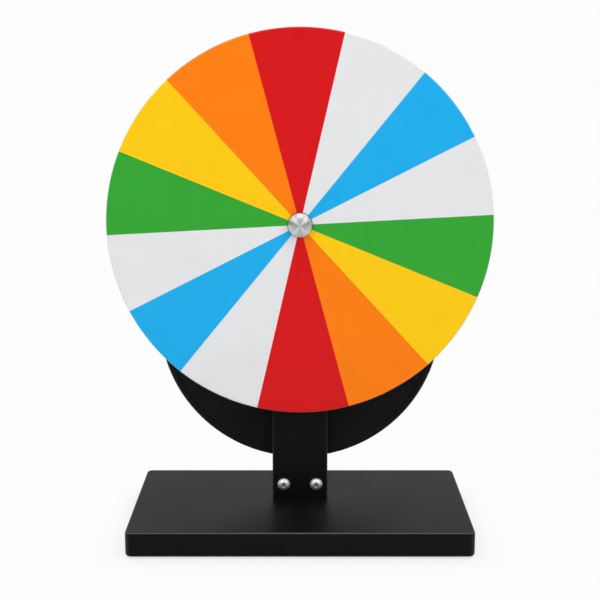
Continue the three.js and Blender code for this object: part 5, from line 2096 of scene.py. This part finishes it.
@dataclass(frozen=True)
class Handle:
    """The spindle on the back of the wheel, and the grip that turns on it."""

    thread: float = 3 * MM
    collar: float = 7 * MM
    collar_width: float = 2 * MM
    collar_edge: float = 0.3 * MM
    spindle: float = 4 * MM
    head: float = 6.5 * MM
    head_edge: float = 0.8 * MM
    socket: tuple[float, float] = (5 * MM, 2.1 * MM)
    play: float = 0.3 * MM
    grip_ends: float = 9.5 * MM
    grip_waist: float = 10.4 * MM
    grip_belly: float = 13 * MM
    grip_heel: float = 11.1 * MM
    grip_bends: tuple[float, ...] = (0.2, 0.42, 0.7, 0.86)
    grip_ease: float = 1.5 * MM
    grip_edge: float = 0.4 * MM

    def build(self) -> None:
        """Builds and dresses the spindle and the grip."""
        centre = pivot("grip_spin")
        axis = Axis(centre.x, centre.z)
        finish = about(FINISHES.steel, "handle steel", centre)
        settle(axis.lay(self.pin()), "handle_pin", finish, Body.CRANK, "handle_spindle")
        settle(axis.lay(self.grip()), "turning_grip", FINISHES.grip, Body.GRIP, "handle_grip")

    def pin(self) -> Mesh:
        """Makes the shouldered spindle with its socket.

        Returns:
            The spindle, along Z about its own axis.
        """
        front, back = reach("handle_spindle")
        grip_front, grip_back = reach("handle_grip")
        shoulder = grip_front - self.play
        seat = shoulder - self.collar_width
        head = grip_back + self.play
        outline = [
            (0.0, front),
            (self.thread, front),
            (self.thread, seat),
            (self.collar, seat, self.collar_edge),
            (self.collar, shoulder, self.collar_edge),
            (self.spindle, shoulder),
            (self.spindle, head),
            (self.head, head, self.collar_edge),
            (self.head, back, self.head_edge),
            (0.0, back),
        ]
        width, depth = self.socket
        return combined(turned(outline), [prism(width, back - depth, back + OVER)])

    def grip(self) -> Mesh:
        """Makes the grip, which swells towards the hand's heel.

        Returns:
            The grip, along Z about its own axis.
        """
        front, back = reach("handle_grip")
        bore = self.spindle + FIT
        ease = self.grip_ease
        waist, swell, belly, heel = (front + (back - front) * share for share in self.grip_bends)
        rise = swept(
            (self.grip_ends, front + ease),
            (self.grip_waist, waist),
            (self.grip_belly, swell),
            (self.grip_belly, belly),
        )
        fall = swept(
            (self.grip_belly, belly),
            (self.grip_belly, heel),
            (self.grip_heel, back - ease),
            (self.grip_ends, back - ease / 2),
        )
        outline = [
            (bore, front),
            (self.grip_ends - ease, front, self.grip_edge),
            *rise[:-1],
            *fall,
            (self.grip_ends - ease, back, self.grip_edge),
            (bore, back),
        ]
        return turned(outline)


@dataclass(frozen=True)
class CrankAxle:
    """The fixed axle of the wheel, its washers and its nuts."""

    radius: float = 5 * MM
    thread: float = 4 * MM
    collar: float = 8 * MM
    collar_width: float = 1.5 * MM
    nut_flats: float = 13 * MM
    cap_thread: float = 7 * MM
    ease: float = 0.25 * MM
    thread_run: float = 0.4 * MM
    thread_end: float = 0.2 * MM

    def build(self) -> None:
        """Builds and dresses the axle and what holds it."""
        finish = about(FINISHES.steel, "axle steel", Vector((AXLE.x, 0.0, AXLE.z)))
        settle(AXLE.lay(self.pin()), "fixed_axle", finish, Body.STAND, "crank_axle")
        bore = self.thread + FIT
        for end in ENDS:
            node = f"axle_washer_{end}"
            ring = collar(bore, half_width(node), *reach(node), self.ease)
            settle(AXLE.lay(ring), f"axle_ring_{end}", finish, Body.STAND, node)
        front, back = reach("axle_nut_front")
        nut = AXLE.lay(FASTENERS.nut(self.nut_flats, back - front, bore), front)
        settle(nut, "axle_hex_nut", finish, Body.STAND, "axle_nut_front")
        front, back = reach("axle_cap_nut")
        cap = AXLE.lay(FASTENERS.cap_nut(self.nut_flats, back - front, bore, self.cap_thread), front)
        settle(cap, "axle_dome_nut", finish, Body.STAND, "axle_cap_nut")

    def pin(self) -> Mesh:
        """Makes the axle with its collar and its two thinner ends.

        Returns:
            The axle, along Z about its own axis.
        """
        front, back = reach("crank_axle")
        seat = reach("post")[1]
        shoulder = reach("axle_washer_rear")[0]
        tip = FASTENERS.tip
        outline = [
            (0.0, front),
            (self.thread - tip, front),
            (self.thread, front + tip),
            (self.thread - FASTENERS.thread_depth, front + tip + self.thread_run),
            (self.thread, reach("axle_nut_front")[0] + self.thread_end),
            (self.thread, seat),
            (self.collar, seat, self.ease),
            (self.collar, seat + self.collar_width, self.ease),
            (self.radius, seat + self.collar_width),
            (self.radius, shoulder),
            (self.thread, shoulder),
            (self.thread, back - tip),
            (self.thread - tip, back),
            (0.0, back),
        ]
        return turned(outline)


@dataclass(frozen=True)
class Lamp:
    """One soft lamp.

    Attributes:
        name: its name.
        place: where it hangs.
        size: width of its square face.
        power: its power in watts.
        target: what it points at.
    """

    name: str
    place: tuple[float, float, float]
    size: float
    power: float
    target: tuple[float, float, float] = (0.0, 0.0, 0.2)

    def hang(self) -> None:
        """Hangs the lamp in the studio."""
        data = bpy.data.lights.new(self.name, "AREA")
        data.shape = "SQUARE"
        data.size = self.size
        data.energy = self.power
        lamp = bpy.data.objects.new(self.name, data)
        place = Vector(self.place)
        lamp.location = place
        lamp.rotation_euler = (Vector(self.target) - place).to_track_quat("-Z", "Y").to_euler()
        bpy.context.scene.collection.objects.link(lamp)


@dataclass(frozen=True)
class Studio:
    """A pale floor that fades into a white background, soft lamps and the camera."""

    floor_size: float = 12.0
    floor_tiles: int = 8
    floor_colour: Colour = (0.9, 0.9, 0.9)
    white: Colour = (0.982, 0.982, 0.982)
    shadow_share: float = 0.3
    fade_end: float = 0.03  # how far out from the board the shadow ends
    ambient: float = 0.3
    room_glow: float = 0.15  # how bright gloss sees the unlit end of the room
    room_range: tuple[float, float] = (-0.87, -0.97)  # where it starts and is whole, as the Y of a direction
    ceiling_glow: float = 0.3
    ceiling_height: tuple[float, float] = (-0.1, 0.05)  # the same for the ceiling, as the Z
    ceiling_range: tuple[float, float] = (0.2, -0.1)  # and as the Y
    lens: float = 75.91
    sensor: float = 36.0
    camera_place: tuple[float, float, float] = (0.0, -0.99617, 0.36968)
    camera_pitch: float = 79.649
    camera_clip: tuple[float, float] = (0.01, 100.0)
    lamps: tuple[Lamp, ...] = (
        Lamp("left softbox", (-1.2, -1.5, 1.45), 1.35, 14.5),
        Lamp("right softbox", (1.2, -1.5, 1.45), 1.35, 14.5),
        Lamp("overhead", (0.0, -0.35, 1.7), 1.0, 9.3),
        Lamp("rear left softbox", (-1.5, 1.3, 1.3), 1.0, 14.0),
        Lamp("rear right softbox", (1.5, 1.3, 1.3), 1.0, 14.0),
    )

    def build(self) -> None:
        """Sets up the camera, the floor, the world and the lamps."""
        self.set_camera()
        self.lay_floor()
        self.light_world()
        for lamp in self.lamps:
            lamp.hang()
        bpy.context.scene.view_settings.view_transform = "Standard"

    def set_camera(self) -> None:
        """Puts the camera where the photograph was taken from."""
        data = bpy.data.cameras.new("camera")
        data.sensor_width = self.sensor
        data.lens = self.lens
        data.clip_start, data.clip_end = self.camera_clip
        camera = bpy.data.objects.new("camera", data)
        camera.location = self.camera_place
        camera.rotation_euler = (math.radians(self.camera_pitch), 0.0, 0.0)
        bpy.context.scene.collection.objects.link(camera)
        bpy.context.scene.camera = camera

    def lay_floor(self) -> None:
        """Lays the floor, which keeps the shadow, turns white further out and is clear from below."""
        mesh = bmesh.new()
        tiles = self.floor_tiles
        bmesh.ops.create_grid(mesh, x_segments=tiles, y_segments=tiles, size=self.floor_size / 2)
        floor = on_bench(mesh, "floor")
        material = bpy.data.materials.new("pale floor")
        material.use_nodes = True
        material.node_tree.nodes.clear()
        wiring = Wiring(material.node_tree)
        place = wiring.place()
        past = wiring.vector("SUBTRACT", wiring.vector("ABSOLUTE", place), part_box("base_board")[1])
        past = wiring.vector("MAXIMUM", past, (0.0, 0.0, -1.0))
        away = wiring.vector("LENGTH", wiring.vector("MULTIPLY", past, (1.0, 1.0, 0.0)))
        fade = wiring.ease(away, 0.0, self.fade_end, 1.0 - self.shadow_share, 1.0)
        way = wiring.vector("NORMALIZE", wiring.vector("SUBTRACT", place, (0.0, 0.0, SHAFT.z)))
        in_gloss = wiring.node("LightPath").outputs["Is Glossy Ray"]
        dim = wiring.math("MULTIPLY", self.dark_room(wiring, way), in_gloss)
        matt = wiring.node("BsdfDiffuse", opaque(self.floor_colour))
        glow = wiring.node("Emission", wiring.blend(dim, self.white, (self.room_glow,) * 3), 1.0)
        share = wiring.math("MULTIPLY", fade, self.seen(wiring))
        mixed = wiring.node("MixShader", share, matt.outputs[0], glow.outputs[0])
        clear = wiring.node("BsdfTransparent")
        below = wiring.node("NewGeometry").outputs["Backfacing"]
        one_way = wiring.node("MixShader", below, mixed.outputs[0], clear.outputs[0])
        wiring.node("OutputMaterial", one_way.outputs[0])
        floor.data.materials.append(material)

    def dark_room(self, wiring: Wiring, way: Socket) -> Socket:
        """Says how far a direction points at the unlit end of the room in front of the object."""
        return wiring.ease(wiring.part(way, "Y"), *self.room_range)

    def seen(self, wiring: Wiring) -> Socket:
        """Says whether a ray shows the background: straight, in gloss or through glass.

        Args:
            wiring: the tree's wiring.

        Returns:
            1 for such a ray and 0 for a ray that only lights.
        """
        path = wiring.node("LightPath")
        through = wiring.math("MAXIMUM", path.outputs["Is Glossy Ray"], path.outputs["Is Transmission Ray"])
        return wiring.math("MAXIMUM", path.outputs["Is Camera Ray"], through)

    def light_world(self) -> None:
        """Lights the object evenly and shows it a white room with a dim ceiling and a dark far end."""
        world = bpy.data.worlds.new("studio")
        world.use_nodes = True
        world.node_tree.nodes.clear()
        wiring = Wiring(world.node_tree)
        way = wiring.node("TexCoord").outputs["Generated"]
        high = wiring.remap(wiring.part(way, "Z"), *self.ceiling_height)
        ahead = wiring.remap(wiring.part(way, "Y"), *self.ceiling_range)
        room = wiring.blend(wiring.math("MULTIPLY", high, ahead), self.white, (self.ceiling_glow,) * 3)
        room = wiring.blend(self.dark_room(wiring, way), room, (self.room_glow,) * 3)
        shown = wiring.blend(wiring.node("LightPath").outputs["Is Glossy Ray"], self.white, room)
        backdrop = wiring.node("Background", shown, 1.0)
        light = wiring.node("Background", (1.0, 1.0, 1.0, 1.0), self.ambient)
        mixed = wiring.node("MixShader", self.seen(wiring), light.outputs[0], backdrop.outputs[0])
        output = world.node_tree.nodes.new("ShaderNodeOutputWorld")
        wiring.feed(output.inputs["Surface"], mixed.outputs[0])
        bpy.context.scene.world = world


def main() -> None:
    """Builds the studio and every sub-assembly in order."""
    logging.basicConfig(level=logging.INFO, format="%(name)s: %(message)s")
    parts = (Studio, BaseBoard, Upright, Bearing, ColourDisc, DriveBelt, CrankWheel, Handle, CrankAxle)
    for part in parts:
        LOG.info("building %s", part.__name__)
        part().build()


if __name__ == "__main__":
    main()
